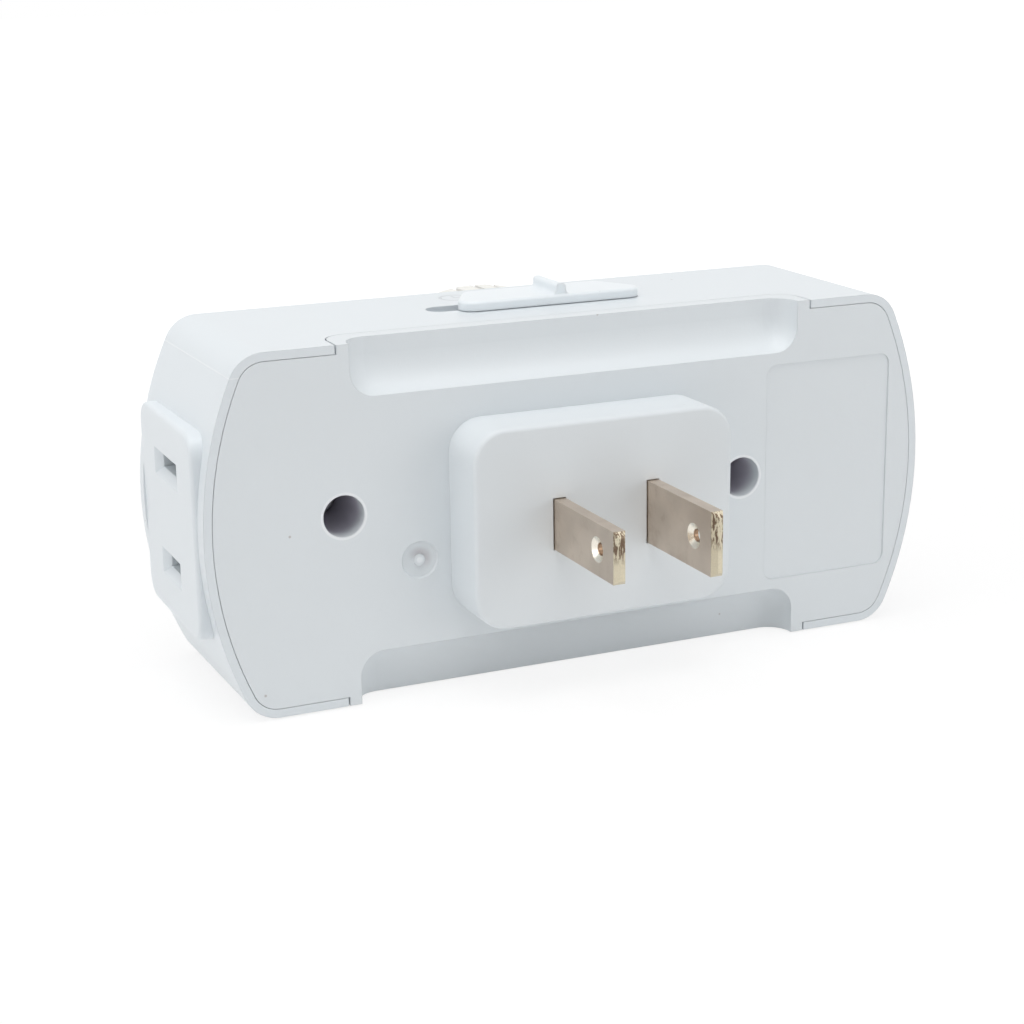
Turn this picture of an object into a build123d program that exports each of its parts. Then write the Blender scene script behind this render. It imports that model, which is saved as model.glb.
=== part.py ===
from build123d import *
import math
import os

os.makedirs("parts", exist_ok=True)

# Plug-in timer switch.  Frame: the origin lies midway between the two plug blades on the
# face that meets the wall plate.  +Y points into the wall (along the blades), the dial
# faces -Y, +Z is up and the outlet is in the +X end.  "Depth" below is the distance from
# the wall plate towards the room, so a depth d lies at Y = -d.

# ---------------------------------------------------------------- plug and outlet sizes
blade_spacing = 12.7
blade_thickness = 1.524
narrow_width = 6.35
wide_width = 7.94
blade_length = 17.0
blade_bevel_length = 0.9
blade_bevel = 0.45
blade_corner = 0.6
blade_hole_depth = 11.9
blade_hole_radius = 0.7
blade_hole_sink_radius = 1.55
blade_hole_sink_depth = 0.5
blade_tail_width = 4.0
blade_flange = 1.2
blade_flange_thickness = 0.8
blade_slot_clearance = 0.1

# ---------------------------------------------------------------- body sizes
body_length = 99.08
body_height = 45.08
body_depth = 29.5
boss_height = 8.0
draft_angle = 0.5
end_draft_angle = 1.5
end_radius = 49.0
end_radius_front = 46.6
corner_radius = 4.5
end_overrun = 2.0
front_fillet = 1.8
wall = 2.2
front_wall = 2.0
rim_width = 1.07
seam_gap = 0.06
cover_thickness = 2.5
body_from_plug_x = -1.0
body_from_plug_z = 0.4

boss_width = 35.0
boss_tall = 25.0
boss_corner = 4.2
boss_fillet = 0.55
boss_face = 2.5
boss_wall = 1.8

tab_half_length = 32.5
tab_depth = 6.2
tab_corner = 3.2
tab_end_gap = 0.2
tab_inner_z = 14.8

cove_left = -30.5
cove_right = 30.75
cove_rear_z = 16.0
cove_floor_z = 17.2
cove_depth = 3.6
cove_radius = 4.4
cove_end_radius = 3.1

label_end_margin = 4.74
label_z = -0.11
label_width = 18.65
label_tall = 29.08
label_corner = 1.4
label_recess = 0.18

gate_x = 22.6
gate_z = -5.1
gate_radius = 2.4
gate_dish = 0.3
gate_nub_radius = 0.75
gate_nub_height = 0.2

cover_rib_thickness = 1.2
cover_rib_height = 1.5
label_rib_z = 7.0
label_rib_length = 14.0
end_rib_margin = 4.04
end_rib_length = 16.0

screw_spots = [(32.15, 1.67), (-22.5, 0.05)]
screw_hole_radius = 2.62
screw_tube_wall = 0.78
screw_seat_depth = 12.0
screw_seat_thickness = 1.5
screw_clear_radius = 1.6
screw_head_radius = 2.4
screw_head_height = 1.8
screw_shank_radius = 1.25
screw_shank_length = 10.0
screw_slot_width = 0.6
screw_slot_depth = 0.7
screw_post_radius = 3.0

# ---------------------------------------------------------------- outlet sizes
panel_stand_out = 0.46
panel_thickness = 3.05
panel_rear_margin = 2.4
panel_front_margin = 2.8
panel_tall = 25.8
panel_corner = 3.0
panel_fillet = 0.5
outlet_slot_height = 1.6
outlet_slot_wide = 8.9
outlet_slot_narrow = 7.0
outlet_slot_chamfer = 0.92
jaw_reach = 8.95
jaw_front_gap = 0.9
jaw_mouth_length = 2.6
jaw_back_length = 2.2
jaw_thickness = 0.6
jaw_half_gap = 0.9
jaw_pinch = 0.5
jaw_flare = 0.9
jaw_wide = 6.4
jaw_narrow = 5.4

# ---------------------------------------------------------------- dial sizes
well_radius = 22.6
well_depth = 1.9
well_wall = 2.0
well_opening_radius = 6.5
dial_stand_off = 2.4
dial_thickness = 3.2
dial_radius = 21.9
dial_hub_radius = 6.0
dial_hub_length = 5.0
dial_spigot_radius = 4.0
dial_spigot_length = 2.6
dial_face_radius = 16.8
dial_face_thickness = 0.7
dial_face_hole_radius = 4.5
cap_radius = 4.2
cap_gap = 0.15
cap_height = 1.65
cap_chamfer = 0.8
dial_axle_radius = 1.5
dial_axle_shoulder = 2.2
dial_axle_stand_out = 1.1
dial_end_play = 0.2
running_clearance = 0.05

pin_count = 48
pin_groups = 8
pin_fin = 0.4
pin_clearance = 0.1
pin_outer_radius = 22.0
pin_block_radius = 19.2
pin_neck_width = 0.9
pin_head_radius = 18.6
pin_head_width = 1.5
pin_inner_radius = 17.8
pin_tail_gap = 0.4
pin_height = 5.6

# ---------------------------------------------------------------- gear sizes
gear_module = 0.5
gear_pressure_angle = 25.0
gear_addendum = 0.75
gear_dedendum = 1.0
gear_backlash = 0.08
dial_teeth = 60
wheel_teeth = 30
pinion_teeth = 12
gear_2_bearing = 150.0
gear_1_bearing = -62.0
motor_bearing = -90.0
gear_axle_radius = 0.75
dial_gear_thickness = 2.0
clutch_thickness = 0.4
wheel_thickness = 1.6
gear_2_pinion_length = 3.1
gear_1_pinion_length = 2.3
motor_pinion_length = 1.8

# ---------------------------------------------------------------- mechanism frame and motor
frame_from_well = 11.6
frame_thickness = 1.5
frame_left = -19.0
frame_right = 8.5
frame_bottom = -19.0
frame_top = 13.5
frame_corner = 3.0
frame_posts = [(-21.5, -8.5), (6.0, -17.0), (10.0, 14.2)]
frame_ear_radius = 2.5
frame_post_radius = 1.6
frame_screw_radius = 0.8
frame_screw_head_radius = 1.9
frame_screw_head_height = 1.2
frame_screw_length = 5.5
frame_screw_slot = 0.5
frame_hole_clearance = 0.1
motor_radius = 9.0
motor_clearance = 0.8
motor_lid_thickness = 0.8
motor_wall = 0.8
motor_boss_radius = 1.8
motor_boss_length = 1.4
coil_inner_radius = 3.5
coil_outer_radius = 8.1
coil_space = 2.4
can_chamfer = 0.5
screw_head_chamfer = 0.3

# ---------------------------------------------------------------- switch sizes
lever_pivot_x = 26.5
lever_pivot_from_well = 5.1
lever_pin_radius = 0.8
lever_hub_radius = 1.8
lever_z = 8.5
lever_width = 4.0
lever_arm_thickness = 1.8
lever_finger_x = 18.05
lever_finger_wide = 1.7
lever_finger_tall = 2.0
lever_finger_stand = 0.3
lever_leg_reach = 9.25
lever_leg_thickness = 1.6
lever_leg_offset = 1.0
ear_thickness = 1.6
ear_gap = 0.2
ear_half_width = 1.9
window_margin = 0.55
leaf_roll_radius = 0.7
leaf_roll_gap = 0.05
leaf_offset_x = 0.1
leaf_thickness = 0.4
leaf_above_pivot = 11.45
rivet_radius = 1.3
rivet_height = 0.5
rivet_from_pivot = 10.15
anvil_gap = 1.12
anvil_rivet_radius = 1.1
anvil_rivet_height = 0.25
anvil_foot_length = 3.0
rivet_stem_radius = 0.5
rivet_stem_clearance = 0.02
strip_thickness = 0.8
strip_level = 3.2
line_riser_width = 3.6
line_riser_gap = 1.2
load_overlap = 0.3
load_riser_width = 3.0
load_riser_gap = 0.45
load_foot_back = 2.0
load_foot_front = 1.0
busbar_width = 4.0
busbar_top = 16.5
busbar_overhang = 2.5
busbar_drop_width = 3.0

# ---------------------------------------------------------------- override slider sizes
slider_depth = 24.2
slider_slot_half = 14.6
slider_slot_width = 3.7
slider_travel = 3.4
slider_rest_x = -1.6
slider_plate_wide = 8.4
slider_plate_near = 13.9
slider_plate_far = 9.6
slider_plate_thickness = 1.2
slider_plate_gap = 0.04
slider_stem_half = 6.3
slider_stem_clearance = 0.1
slider_plate_corner = 2.0
slider_plate_chamfer = 0.25
ridge_x = -1.05
ridge_wide = 1.3
ridge_height = 1.4
ridge_span = 7.4
ridge_flare = 0.6
ridge_round = 0.5
ridge_near_round = 1.15
peg_spread = 4.0
peg_radius = 0.9
peg_length = 1.26
carriage_half = 16.6
carriage_wide = 7.0
carriage_thickness = 1.8
carriage_gap = 0.1
carriage_arm_x = 23.4
carriage_leg_width = 1.2
carriage_arm_width = 2.0
carriage_arm_clearance = 0.3
carriage_leg_bottom = 9.0
detent_half = 21.0
detent_rib_wide = 2.0
detent_level = 2.9
detent_thickness = 0.4
detent_width = 2.2
detent_rib_depth = 3.5
detent_rib_shift = -0.75
detent_hump = 0.85
detent_hump_foot = 2.6
detent_hump_top = 0.6
detent_notch_width = 1.4
detent_notch_depth = 0.5

# ---------------------------------------------------------------- derived stations
rear = boss_height
front = rear + body_depth
plate_inner = rear + cover_thickness
well_floor = front - well_depth
well_inner = well_floor - well_wall
dial_back = well_floor + dial_stand_off
dial_front = dial_back + dial_thickness
hub_end = dial_back - dial_hub_length
gear_front = hub_end - clutch_thickness
spigot_end = hub_end - dial_spigot_length
frame_rear = well_floor - frame_from_well
frame_front = frame_rear + frame_thickness
screw_seat = rear + screw_seat_depth
post_end = screw_seat + screw_seat_thickness
cavity_half_height = body_height / 2 - wall
panel_x = body_length / 2 + panel_stand_out
panel_inner_x = panel_x - panel_thickness
panel_wide = body_depth - panel_rear_margin - panel_front_margin
panel_depth_centre = rear + panel_rear_margin + panel_wide / 2
jaw_x = panel_inner_x - jaw_reach
label_x = -(body_length / 2 - label_end_margin - label_width / 2)
strip_depth = rear + strip_level
busbar_depth = rear + tab_depth
lever_pivot_depth = well_floor - lever_pivot_from_well
leaf_pivot_depth = strip_depth + strip_thickness + leaf_roll_gap + leaf_roll_radius
lever_leg_length = lever_pivot_depth - leaf_pivot_depth - lever_leg_reach
pin_rear = dial_back + pin_tail_gap


def at(depth, x=0.0, z=0.0):
    """Plane facing the room at a depth, with its origin at (x, z) from the body's centre."""
    return Plane(
        origin=(body_from_plug_x + x, -depth, body_from_plug_z + z),
        x_dir=(1, 0, 0),
        z_dir=(0, -1, 0),
    )


def plug_at(depth, x=0.0):
    """Plane facing the room, with its origin on the plug's own centre line."""
    return Plane(origin=(x, -depth, 0), x_dir=(1, 0, 0), z_dir=(0, -1, 0))


def side_at(x):
    """Plane facing +X with local x along +Y and local y along +Z from the body's centre."""
    return Plane(
        origin=(body_from_plug_x + x, 0, body_from_plug_z),
        x_dir=(0, 1, 0),
        z_dir=(1, 0, 0),
    )


def level_at(z):
    """Plane facing +Z with local x along +X and local y along +Y, from the body's centre."""
    return Plane(
        origin=(body_from_plug_x, 0, body_from_plug_z + z),
        x_dir=(1, 0, 0),
        z_dir=(0, 0, 1),
    )


def grown(size, angle, depth):
    """A half size at a depth, where the mould's draft has let it grow from the rear face."""
    return size / 2 + math.tan(math.radians(angle)) * (depth - rear)


def body_outline(inset=0.0, depth=rear, overrun=0.0):
    """The body seen from the wall: straight long sides and gently bowed ends.

    With an overrun the ends run on past the long sides, and their corners stay sharp.
    """
    half_l = grown(body_length, end_draft_angle, depth) - inset
    half_h = grown(body_height, draft_angle, depth) - inset + overrun
    radius = end_radius + (end_radius_front - end_radius) * (depth - rear) / body_depth - inset
    corner_x = half_l - radius + math.sqrt(radius**2 - half_h**2)
    with BuildSketch() as outline:
        with BuildLine():
            Line((-corner_x, half_h), (corner_x, half_h))
            ThreePointArc((corner_x, half_h), (half_l, 0), (corner_x, -half_h))
            Line((corner_x, -half_h), (-corner_x, -half_h))
            ThreePointArc((-corner_x, -half_h), (-half_l, 0), (-corner_x, half_h))
        make_face()
        if overrun == 0:
            fillet(outline.vertices(), max(corner_radius - inset, 0.6))
    return outline.sketch


# ---------------------------------------------------------------- outer form
with BuildPart() as body_form:
    with BuildSketch(at(rear)):
        add(body_outline(overrun=end_overrun))
    with BuildSketch(at(front)):
        add(body_outline(depth=front, overrun=end_overrun))
    loft(ruled=True)
    # the long sides are flat, so that the body stands on one of them
    with BuildSketch(side_at(-body_length)):
        with BuildLine():
            Polyline(
                (-rear, body_height / 2),
                (-front, grown(body_height, draft_angle, front)),
                (-front, -grown(body_height, draft_angle, front)),
                (-rear, -body_height / 2),
                close=True,
            )
        make_face()
    extrude(amount=2 * body_length, mode=Mode.INTERSECT)
    fillet(body_form.edges().filter_by(lambda edge: abs(edge.tangent_at(0.5).Y) > 0.9), corner_radius)
    fillet(body_form.faces().sort_by(Axis.Y)[0].edges(), front_fillet)


def tab_block(side, end_gap, far_gap):
    """Block that reaches through the long wall, where the cover comes to the outside."""
    outer = body_height / 2 + 4
    with BuildPart() as block:
        with BuildSketch(level_at(side * tab_inner_z)) as plan:
            with Locations((0, -(rear + (tab_depth - far_gap) / 2))):
                Rectangle(2 * (tab_half_length - end_gap), tab_depth - far_gap)
            fillet(plan.vertices().group_by(Axis.Y)[0], tab_corner - end_gap)
        extrude(amount=side * (outer - tab_inner_z))
    return block.part


# ---------------------------------------------------------------- front housing
with BuildPart() as cavity:
    with BuildSketch(at(plate_inner)):
        add(body_outline(wall))
    extrude(amount=front - front_wall - plate_inner)
    with BuildSketch(at(well_inner)):
        Circle(well_radius + wall)
    extrude(amount=well_wall + well_depth, mode=Mode.SUBTRACT)

window_shift = 0.25
window_wide = lever_finger_wide + 2 * (window_margin + window_shift)
rib_bottom = cavity_half_height - detent_level
pivot_x = lever_pivot_x
ear_spots = [
    lever_z - lever_width / 2 - ear_gap - ear_thickness / 2,
    lever_z + lever_width / 2 + ear_gap + ear_thickness / 2,
]

with BuildPart() as front_housing:
    add(body_form.part)
    # outlet panel, standing a little proud of the bowed end
    with BuildSketch(side_at(panel_inner_x)):
        with Locations((-panel_depth_centre, 0)):
            RectangleRounded(panel_wide, panel_tall, panel_corner)
    extrude(amount=panel_x - panel_inner_x)
    fillet(
        front_housing.faces().filter_by(Plane.YZ).sort_by(Axis.X)[-1].edges(),
        panel_fillet,
    )
    with BuildSketch(side_at(panel_x)):
        with Locations((-panel_depth_centre, 0)):
            RectangleRounded(
                panel_wide - 2 * panel_fillet, panel_tall - 2 * panel_fillet, panel_corner - panel_fillet
            )
    extrude(amount=2, mode=Mode.SUBTRACT)
    with BuildSketch(at(rear)):
        add(body_outline(rim_width))
    extrude(amount=cover_thickness, mode=Mode.SUBTRACT)
    add(cavity.part, mode=Mode.SUBTRACT)
    add(tab_block(1, 0.0, 0.0), mode=Mode.SUBTRACT)
    add(tab_block(-1, 0.0, 0.0), mode=Mode.SUBTRACT)
    # screw posts, mechanism posts and the lever's two ears grow from the front wall
    with BuildSketch(at(post_end)):
        with Locations(*screw_spots):
            Circle(screw_post_radius)
    extrude(amount=front - front_wall / 2 - post_end)
    with BuildSketch(at(frame_front)):
        with Locations(*frame_posts):
            Circle(frame_post_radius)
    extrude(amount=well_floor - well_wall / 2 - frame_front)
    with BuildSketch(at(lever_pivot_depth - ear_half_width, pivot_x)):
        with Locations(*[(0, z) for z in ear_spots]):
            Rectangle(2 * ear_half_width, ear_thickness)
    extrude(amount=front - front_wall / 2 - lever_pivot_depth + ear_half_width)
    fillet(
        front_housing.edges()
        .filter_by(Axis.Z)
        .filter_by_position(
            Axis.Y,
            -lever_pivot_depth + ear_half_width - 0.01,
            -lever_pivot_depth + ear_half_width + 0.01,
        ),
        ear_half_width - 0.2,
    )
    # ribs that carry the slider's spring
    with BuildSketch(level_at(rib_bottom)):
        with Locations(
            (-detent_half + detent_rib_wide / 2, -slider_depth + detent_rib_shift),
            (detent_half - detent_rib_wide / 2, -slider_depth + detent_rib_shift),
        ):
            Rectangle(detent_rib_wide, detent_rib_depth)
    extrude(amount=detent_level + wall / 2)
    # dial well, its centre opening and the window for the trip finger
    with BuildSketch(at(well_floor)):
        Circle(well_radius)
    extrude(amount=well_depth + 1, mode=Mode.SUBTRACT)
    with BuildSketch(at(well_inner - 0.5)):
        Circle(well_opening_radius)
        with Locations((lever_finger_x - window_shift, lever_z)):
            RectangleRounded(window_wide, lever_finger_tall + 2 * window_margin, 0.5)
    extrude(amount=well_wall + 1, mode=Mode.SUBTRACT)
    # bores
    with BuildSketch(at(post_end)):
        with Locations(*screw_spots):
            Circle(screw_shank_radius)
    extrude(amount=screw_shank_length + 0.5, mode=Mode.SUBTRACT)
    with BuildSketch(at(frame_front)):
        with Locations(*frame_posts):
            Circle(frame_screw_radius)
    extrude(amount=frame_screw_length - frame_thickness + 0.4, mode=Mode.SUBTRACT)
    with BuildSketch(level_at(ear_spots[0] - ear_thickness)):
        with Locations((pivot_x, -lever_pivot_depth)):
            Circle(lever_pin_radius)
    extrude(amount=ear_spots[1] - ear_spots[0] + 2 * ear_thickness, mode=Mode.SUBTRACT)
    # slot of the override slider
    with BuildSketch(level_at(cavity_half_height - 0.5)):
        with Locations((0, -slider_depth)):
            SlotOverall(2 * slider_slot_half, slider_slot_width)
    extrude(amount=wall + 2, mode=Mode.SUBTRACT)
    # outlet slots with chamfered mouths
    for slot_side, slot_wide in ((1, outlet_slot_wide), (-1, outlet_slot_narrow)):
        slot_z = slot_side * blade_spacing / 2
        with BuildSketch(side_at(panel_x)):
            with Locations((-panel_depth_centre, slot_z)):
                Rectangle(
                    slot_wide + 2 * outlet_slot_chamfer,
                    outlet_slot_height + 2 * outlet_slot_chamfer,
                )
        extrude(amount=-outlet_slot_chamfer, taper=45, mode=Mode.SUBTRACT)
        with BuildSketch(side_at(panel_inner_x - 1)):
            with Locations((-panel_depth_centre, slot_z)):
                Rectangle(slot_wide, outlet_slot_height)
        extrude(amount=panel_x - panel_inner_x + 2, mode=Mode.SUBTRACT)
front_housing.part.label = "front_housing"

# ---------------------------------------------------------------- rear cover
cove_out = 4.0


def cove_cutter(side):
    """Finger step along the long edge: a sloped side, a rounded corner and a flat back."""
    slope = (cove_floor_z - cove_rear_z) / cove_depth
    with BuildPart() as cutter:
        with BuildSketch(side_at(cove_left)) as profile:
            with BuildLine():
                Polyline(
                    (-rear + cove_out, side * (cove_rear_z - slope * cove_out)),
                    (-rear - cove_depth, side * cove_floor_z),
                    (-rear - cove_depth, side * (body_height / 2 + cove_out)),
                    (-rear + cove_out, side * (body_height / 2 + cove_out)),
                    close=True,
                )
            make_face()
            corner = [
                v
                for v in profile.vertices()
                if abs(v.X + rear + cove_depth) < 0.01 and abs(abs(v.Y) - cove_floor_z) < 0.01
            ]
            fillet(corner, cove_radius)
        extrude(amount=cove_right - cove_left)
        ends = cutter.faces().filter_by(Axis.X)
        rims = [
            e
            for face in ends
            for e in face.edges()
            if e.center().Y < -rear + cove_out - 0.5
            and abs(e.center().Z - body_from_plug_z) < body_height / 2 + cove_out - 0.5
        ]
        fillet(rims, cove_end_radius)
    return cutter.part


with BuildPart() as rear_cover:
    with BuildSketch(at(rear)):
        add(body_outline(rim_width + seam_gap))
    extrude(amount=cover_thickness)
    add(tab_block(1, tab_end_gap, seam_gap))
    add(tab_block(-1, tab_end_gap, seam_gap))
    add(body_form.part, mode=Mode.INTERSECT)
    # boss that carries the blades, hollow from inside
    with BuildSketch(at(0, -body_from_plug_x, -body_from_plug_z)):
        RectangleRounded(boss_width, boss_tall, boss_corner)
    extrude(amount=rear + cover_thickness)
    fillet(rear_cover.faces().sort_by(Axis.Y)[-1].edges(), boss_fillet)
    with BuildSketch(plug_at(boss_face)):
        RectangleRounded(boss_width - 2 * boss_wall, boss_tall - 2 * boss_wall, boss_corner - boss_wall)
    extrude(amount=rear + cover_thickness, mode=Mode.SUBTRACT)
    with BuildSketch(plug_at(-1)):
        with Locations((blade_spacing / 2, 0)):
            Rectangle(blade_thickness + 2 * blade_slot_clearance, narrow_width + 2 * blade_slot_clearance)
        with Locations((-blade_spacing / 2, 0)):
            Rectangle(blade_thickness + 2 * blade_slot_clearance, wide_width + 2 * blade_slot_clearance)
    extrude(amount=boss_face + 2, mode=Mode.SUBTRACT)
    add(cove_cutter(1), mode=Mode.SUBTRACT)
    add(cove_cutter(-1), mode=Mode.SUBTRACT)
    # screw tubes
    with BuildSketch(at(plate_inner - 0.5)):
        with Locations(*screw_spots):
            Circle(screw_hole_radius + screw_tube_wall)
    extrude(amount=post_end - plate_inner + 0.5)
    with BuildSketch(at(rear)):
        with Locations(*screw_spots):
            Circle(screw_hole_radius)
    extrude(amount=screw_seat_depth, mode=Mode.SUBTRACT)
    with BuildSketch(at(screw_seat)):
        with Locations(*screw_spots):
            Circle(screw_clear_radius)
    extrude(amount=screw_seat_thickness, mode=Mode.SUBTRACT)
    # stiffening ribs inside, between the boss and the ends of the plate
    with BuildSketch(at(plate_inner)):
        with Locations((label_x, label_rib_z), (label_x, -label_rib_z)):
            Rectangle(label_rib_length, cover_rib_thickness)
        with Locations((body_length / 2 - end_rib_margin, 0)):
            Rectangle(cover_rib_thickness, end_rib_length)
    extrude(amount=cover_rib_height)
    # shallow label recess and the moulding gate's dish with its nub
    with BuildSketch(at(rear, label_x, label_z)):
        RectangleRounded(label_width, label_tall, label_corner)
    extrude(amount=label_recess, mode=Mode.SUBTRACT)
    with BuildSketch(at(rear, gate_x, gate_z)):
        Circle(gate_radius)
    extrude(amount=gate_dish, taper=35, mode=Mode.SUBTRACT)
    with BuildSketch(at(rear + gate_dish, gate_x, gate_z)):
        Circle(gate_nub_radius)
    extrude(amount=-gate_nub_height, taper=20)
rear_cover.part.label = "rear_cover"


# ---------------------------------------------------------------- screws
def slotted_screws(spots, seat, head_radius, head_height, shank_radius, length, slot_width, slot_depth):
    """Pan-head screws driven from the wall side, each with a straight slot."""
    with BuildPart() as screws:
        with BuildSketch(at(seat - head_height)):
            with Locations(*spots):
                Circle(head_radius)
        extrude(amount=head_height)
        chamfer(screws.faces().group_by(Axis.Y)[-1].edges(), screw_head_chamfer)
        with BuildSketch(at(seat)):
            with Locations(*spots):
                Circle(shank_radius)
        extrude(amount=length)
        with BuildSketch(at(seat - head_height)):
            with Locations(*spots):
                Rectangle(2 * head_radius + 1, slot_width)
        extrude(amount=slot_depth, mode=Mode.SUBTRACT)
    return screws.part


cover_screws = slotted_screws(
    screw_spots, screw_seat, screw_head_radius, screw_head_height, screw_shank_radius,
    screw_seat_thickness + screw_shank_length, screw_slot_width, screw_slot_depth,
)
cover_screws.label = "cover_screws"
mechanism_screws = slotted_screws(
    frame_posts, frame_rear, frame_screw_head_radius, frame_screw_head_height, frame_screw_radius,
    frame_screw_length, frame_screw_slot, frame_screw_slot,
)
mechanism_screws.label = "mechanism_screws"


# ---------------------------------------------------------------- blades
def blade(side, width, tail_end):
    """One flat blade with a bevelled tip, a dimpled hole, a flange behind the boss and a tail."""
    x = side * blade_spacing / 2
    with BuildPart() as made:
        with BuildSketch(plug_at(-blade_length + blade_bevel_length, x)):
            Rectangle(blade_thickness, width)
        extrude(amount=blade_length - blade_bevel_length + boss_face)
        with BuildSketch(plug_at(-blade_length + blade_bevel_length, x)):
            Rectangle(blade_thickness, width)
        with BuildSketch(plug_at(-blade_length, x)):
            Rectangle(blade_thickness - 2 * blade_bevel, width - 2 * blade_corner)
        loft()
        with BuildSketch(plug_at(boss_face, x)):
            Rectangle(blade_thickness + 2 * blade_flange, width + 1.6)
        extrude(amount=blade_flange_thickness)
        with BuildSketch(plug_at(boss_face, x)):
            Rectangle(blade_thickness, blade_tail_width)
        extrude(amount=tail_end - boss_face)
        hole = Plane(origin=(x, blade_hole_depth, 0), x_dir=(0, 1, 0), z_dir=(1, 0, 0))
        with Locations(hole):
            Hole(blade_hole_radius, depth=2 * blade_thickness)
        for face_side in (-1, 1):
            mouth = Plane(
                origin=(x + face_side * blade_thickness / 2, blade_hole_depth, 0),
                x_dir=(0, 1, 0),
                z_dir=(-face_side, 0, 0),
            )
            with BuildSketch(mouth):
                Circle(blade_hole_sink_radius)
            with BuildSketch(mouth.offset(blade_hole_sink_depth)):
                Circle(blade_hole_radius)
            loft(mode=Mode.SUBTRACT)
    return made.part


blade_narrow = blade(1, narrow_width, strip_depth + strip_thickness)
blade_narrow.label = "blade_narrow"
blade_wide = blade(-1, wide_width, busbar_depth + strip_thickness)
blade_wide.label = "blade_wide"

# ---------------------------------------------------------------- strips
# Everything here is placed from the body's centre; the plug lies a little off that centre.
plug_x = -body_from_plug_x
plug_z = -body_from_plug_z
narrow_side = plug_x + blade_spacing / 2 + blade_thickness / 2
wide_side = plug_x - blade_spacing / 2 + blade_thickness / 2
leaf_pivot_x = lever_pivot_x + lever_leg_offset + leaf_offset_x + leaf_thickness / 2
switch_low = lever_z - lever_width / 2
switch_high = lever_z + lever_width / 2
anvil_x = leaf_pivot_x + leaf_thickness / 2 + rivet_height + anvil_gap + anvil_rivet_height
line_end = leaf_pivot_x + leaf_roll_radius + leaf_offset_x
riser_right = leaf_pivot_x - line_riser_gap
riser_left = riser_right - line_riser_width
plug_low = plug_z - blade_tail_width / 2

with BuildPart() as line_strip:
    with BuildSketch(at(strip_depth)):
        with Locations(((narrow_side + riser_right) / 2, plug_z)):
            Rectangle(riser_right - narrow_side, blade_tail_width)
        with Locations(((riser_left + riser_right) / 2, (plug_low + switch_high) / 2)):
            Rectangle(line_riser_width, switch_high - plug_low)
        with Locations(((riser_left + line_end) / 2, lever_z)):
            Rectangle(line_end - riser_left, lever_width)
    extrude(amount=strip_thickness)
line_strip.part.label = "line_strip"

jaw_half_width = jaw_half_gap + jaw_thickness
load_low = -blade_spacing / 2 - jaw_half_width
load_riser_left = screw_spots[0][0] + screw_hole_radius + screw_tube_wall + load_riser_gap
load_riser_right = load_riser_left + load_riser_width
load_foot_left = min(load_riser_left, jaw_x - load_foot_back)
load_foot_right = max(load_riser_right, jaw_x + load_foot_front)
with BuildPart() as load_strip:
    with BuildSketch(at(strip_depth)):
        with Locations(((anvil_x - load_overlap + load_riser_right) / 2, lever_z)):
            Rectangle(load_riser_right - anvil_x + load_overlap, lever_width)
        with Locations((load_riser_left + load_riser_width / 2, (load_low + switch_high) / 2)):
            Rectangle(load_riser_width, switch_high - load_low)
        with Locations(((load_foot_left + load_foot_right) / 2, load_low + jaw_half_width)):
            Rectangle(load_foot_right - load_foot_left, 2 * jaw_half_width)
    extrude(amount=strip_thickness)
load_strip.part.label = "load_strip"

busbar_end = jaw_x + busbar_overhang
busbar_drop_end = blade_spacing / 2 - jaw_half_width
busbar_low = plug_z - busbar_width / 2
with BuildPart() as neutral_busbar:
    with BuildSketch(at(busbar_depth)):
        with Locations((wide_side + busbar_width / 2, (busbar_low + busbar_top) / 2)):
            Rectangle(busbar_width, busbar_top - busbar_low)
        with Locations(((wide_side + busbar_end) / 2, busbar_top - busbar_width / 2)):
            Rectangle(busbar_end - wide_side, busbar_width)
        with Locations((busbar_end - busbar_drop_width / 2, (busbar_top + busbar_drop_end) / 2)):
            Rectangle(busbar_drop_width, busbar_top - busbar_drop_end)
    extrude(amount=strip_thickness)
neutral_busbar.part.label = "neutral_busbar"


# ---------------------------------------------------------------- outlet contacts
def outlet_contact(zc, width, foot):
    """A sprung jaw bent from strip: two leaves that pinch the blade and flare at the mouth."""
    mouth = panel_inner_x - jaw_front_gap
    pinch_x = mouth - jaw_mouth_length
    back_x = jaw_x + jaw_back_length
    grip = jaw_half_gap - jaw_pinch + jaw_thickness / 2
    with BuildPart() as jaw:
        with BuildSketch(at(panel_depth_centre - width / 2)):
            with BuildLine() as path:
                Polyline(
                    (mouth, zc + jaw_half_gap + jaw_flare),
                    (pinch_x, zc + grip),
                    (back_x, zc + jaw_half_gap + jaw_thickness / 2),
                    (jaw_x + jaw_thickness / 2, zc + jaw_half_gap + jaw_thickness / 2),
                    (jaw_x + jaw_thickness / 2, zc - jaw_half_gap - jaw_thickness / 2),
                    (back_x, zc - jaw_half_gap - jaw_thickness / 2),
                    (pinch_x, zc - grip),
                    (mouth, zc - jaw_half_gap - jaw_flare),
                )
            trace(line_width=jaw_thickness)
        extrude(amount=width)
        with BuildSketch(at(foot)):
            with Locations((jaw_x + jaw_thickness / 2, zc)):
                Rectangle(jaw_thickness, 2 * (jaw_half_gap + jaw_thickness))
        extrude(amount=panel_depth_centre - foot)
    return jaw.part


outlet_contact_neutral = outlet_contact(blade_spacing / 2, jaw_wide, busbar_depth + strip_thickness)
outlet_contact_neutral.label = "outlet_contact_neutral"
outlet_contact_line = outlet_contact(-blade_spacing / 2, jaw_narrow, strip_depth + strip_thickness)
outlet_contact_line.label = "outlet_contact_line"

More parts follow.
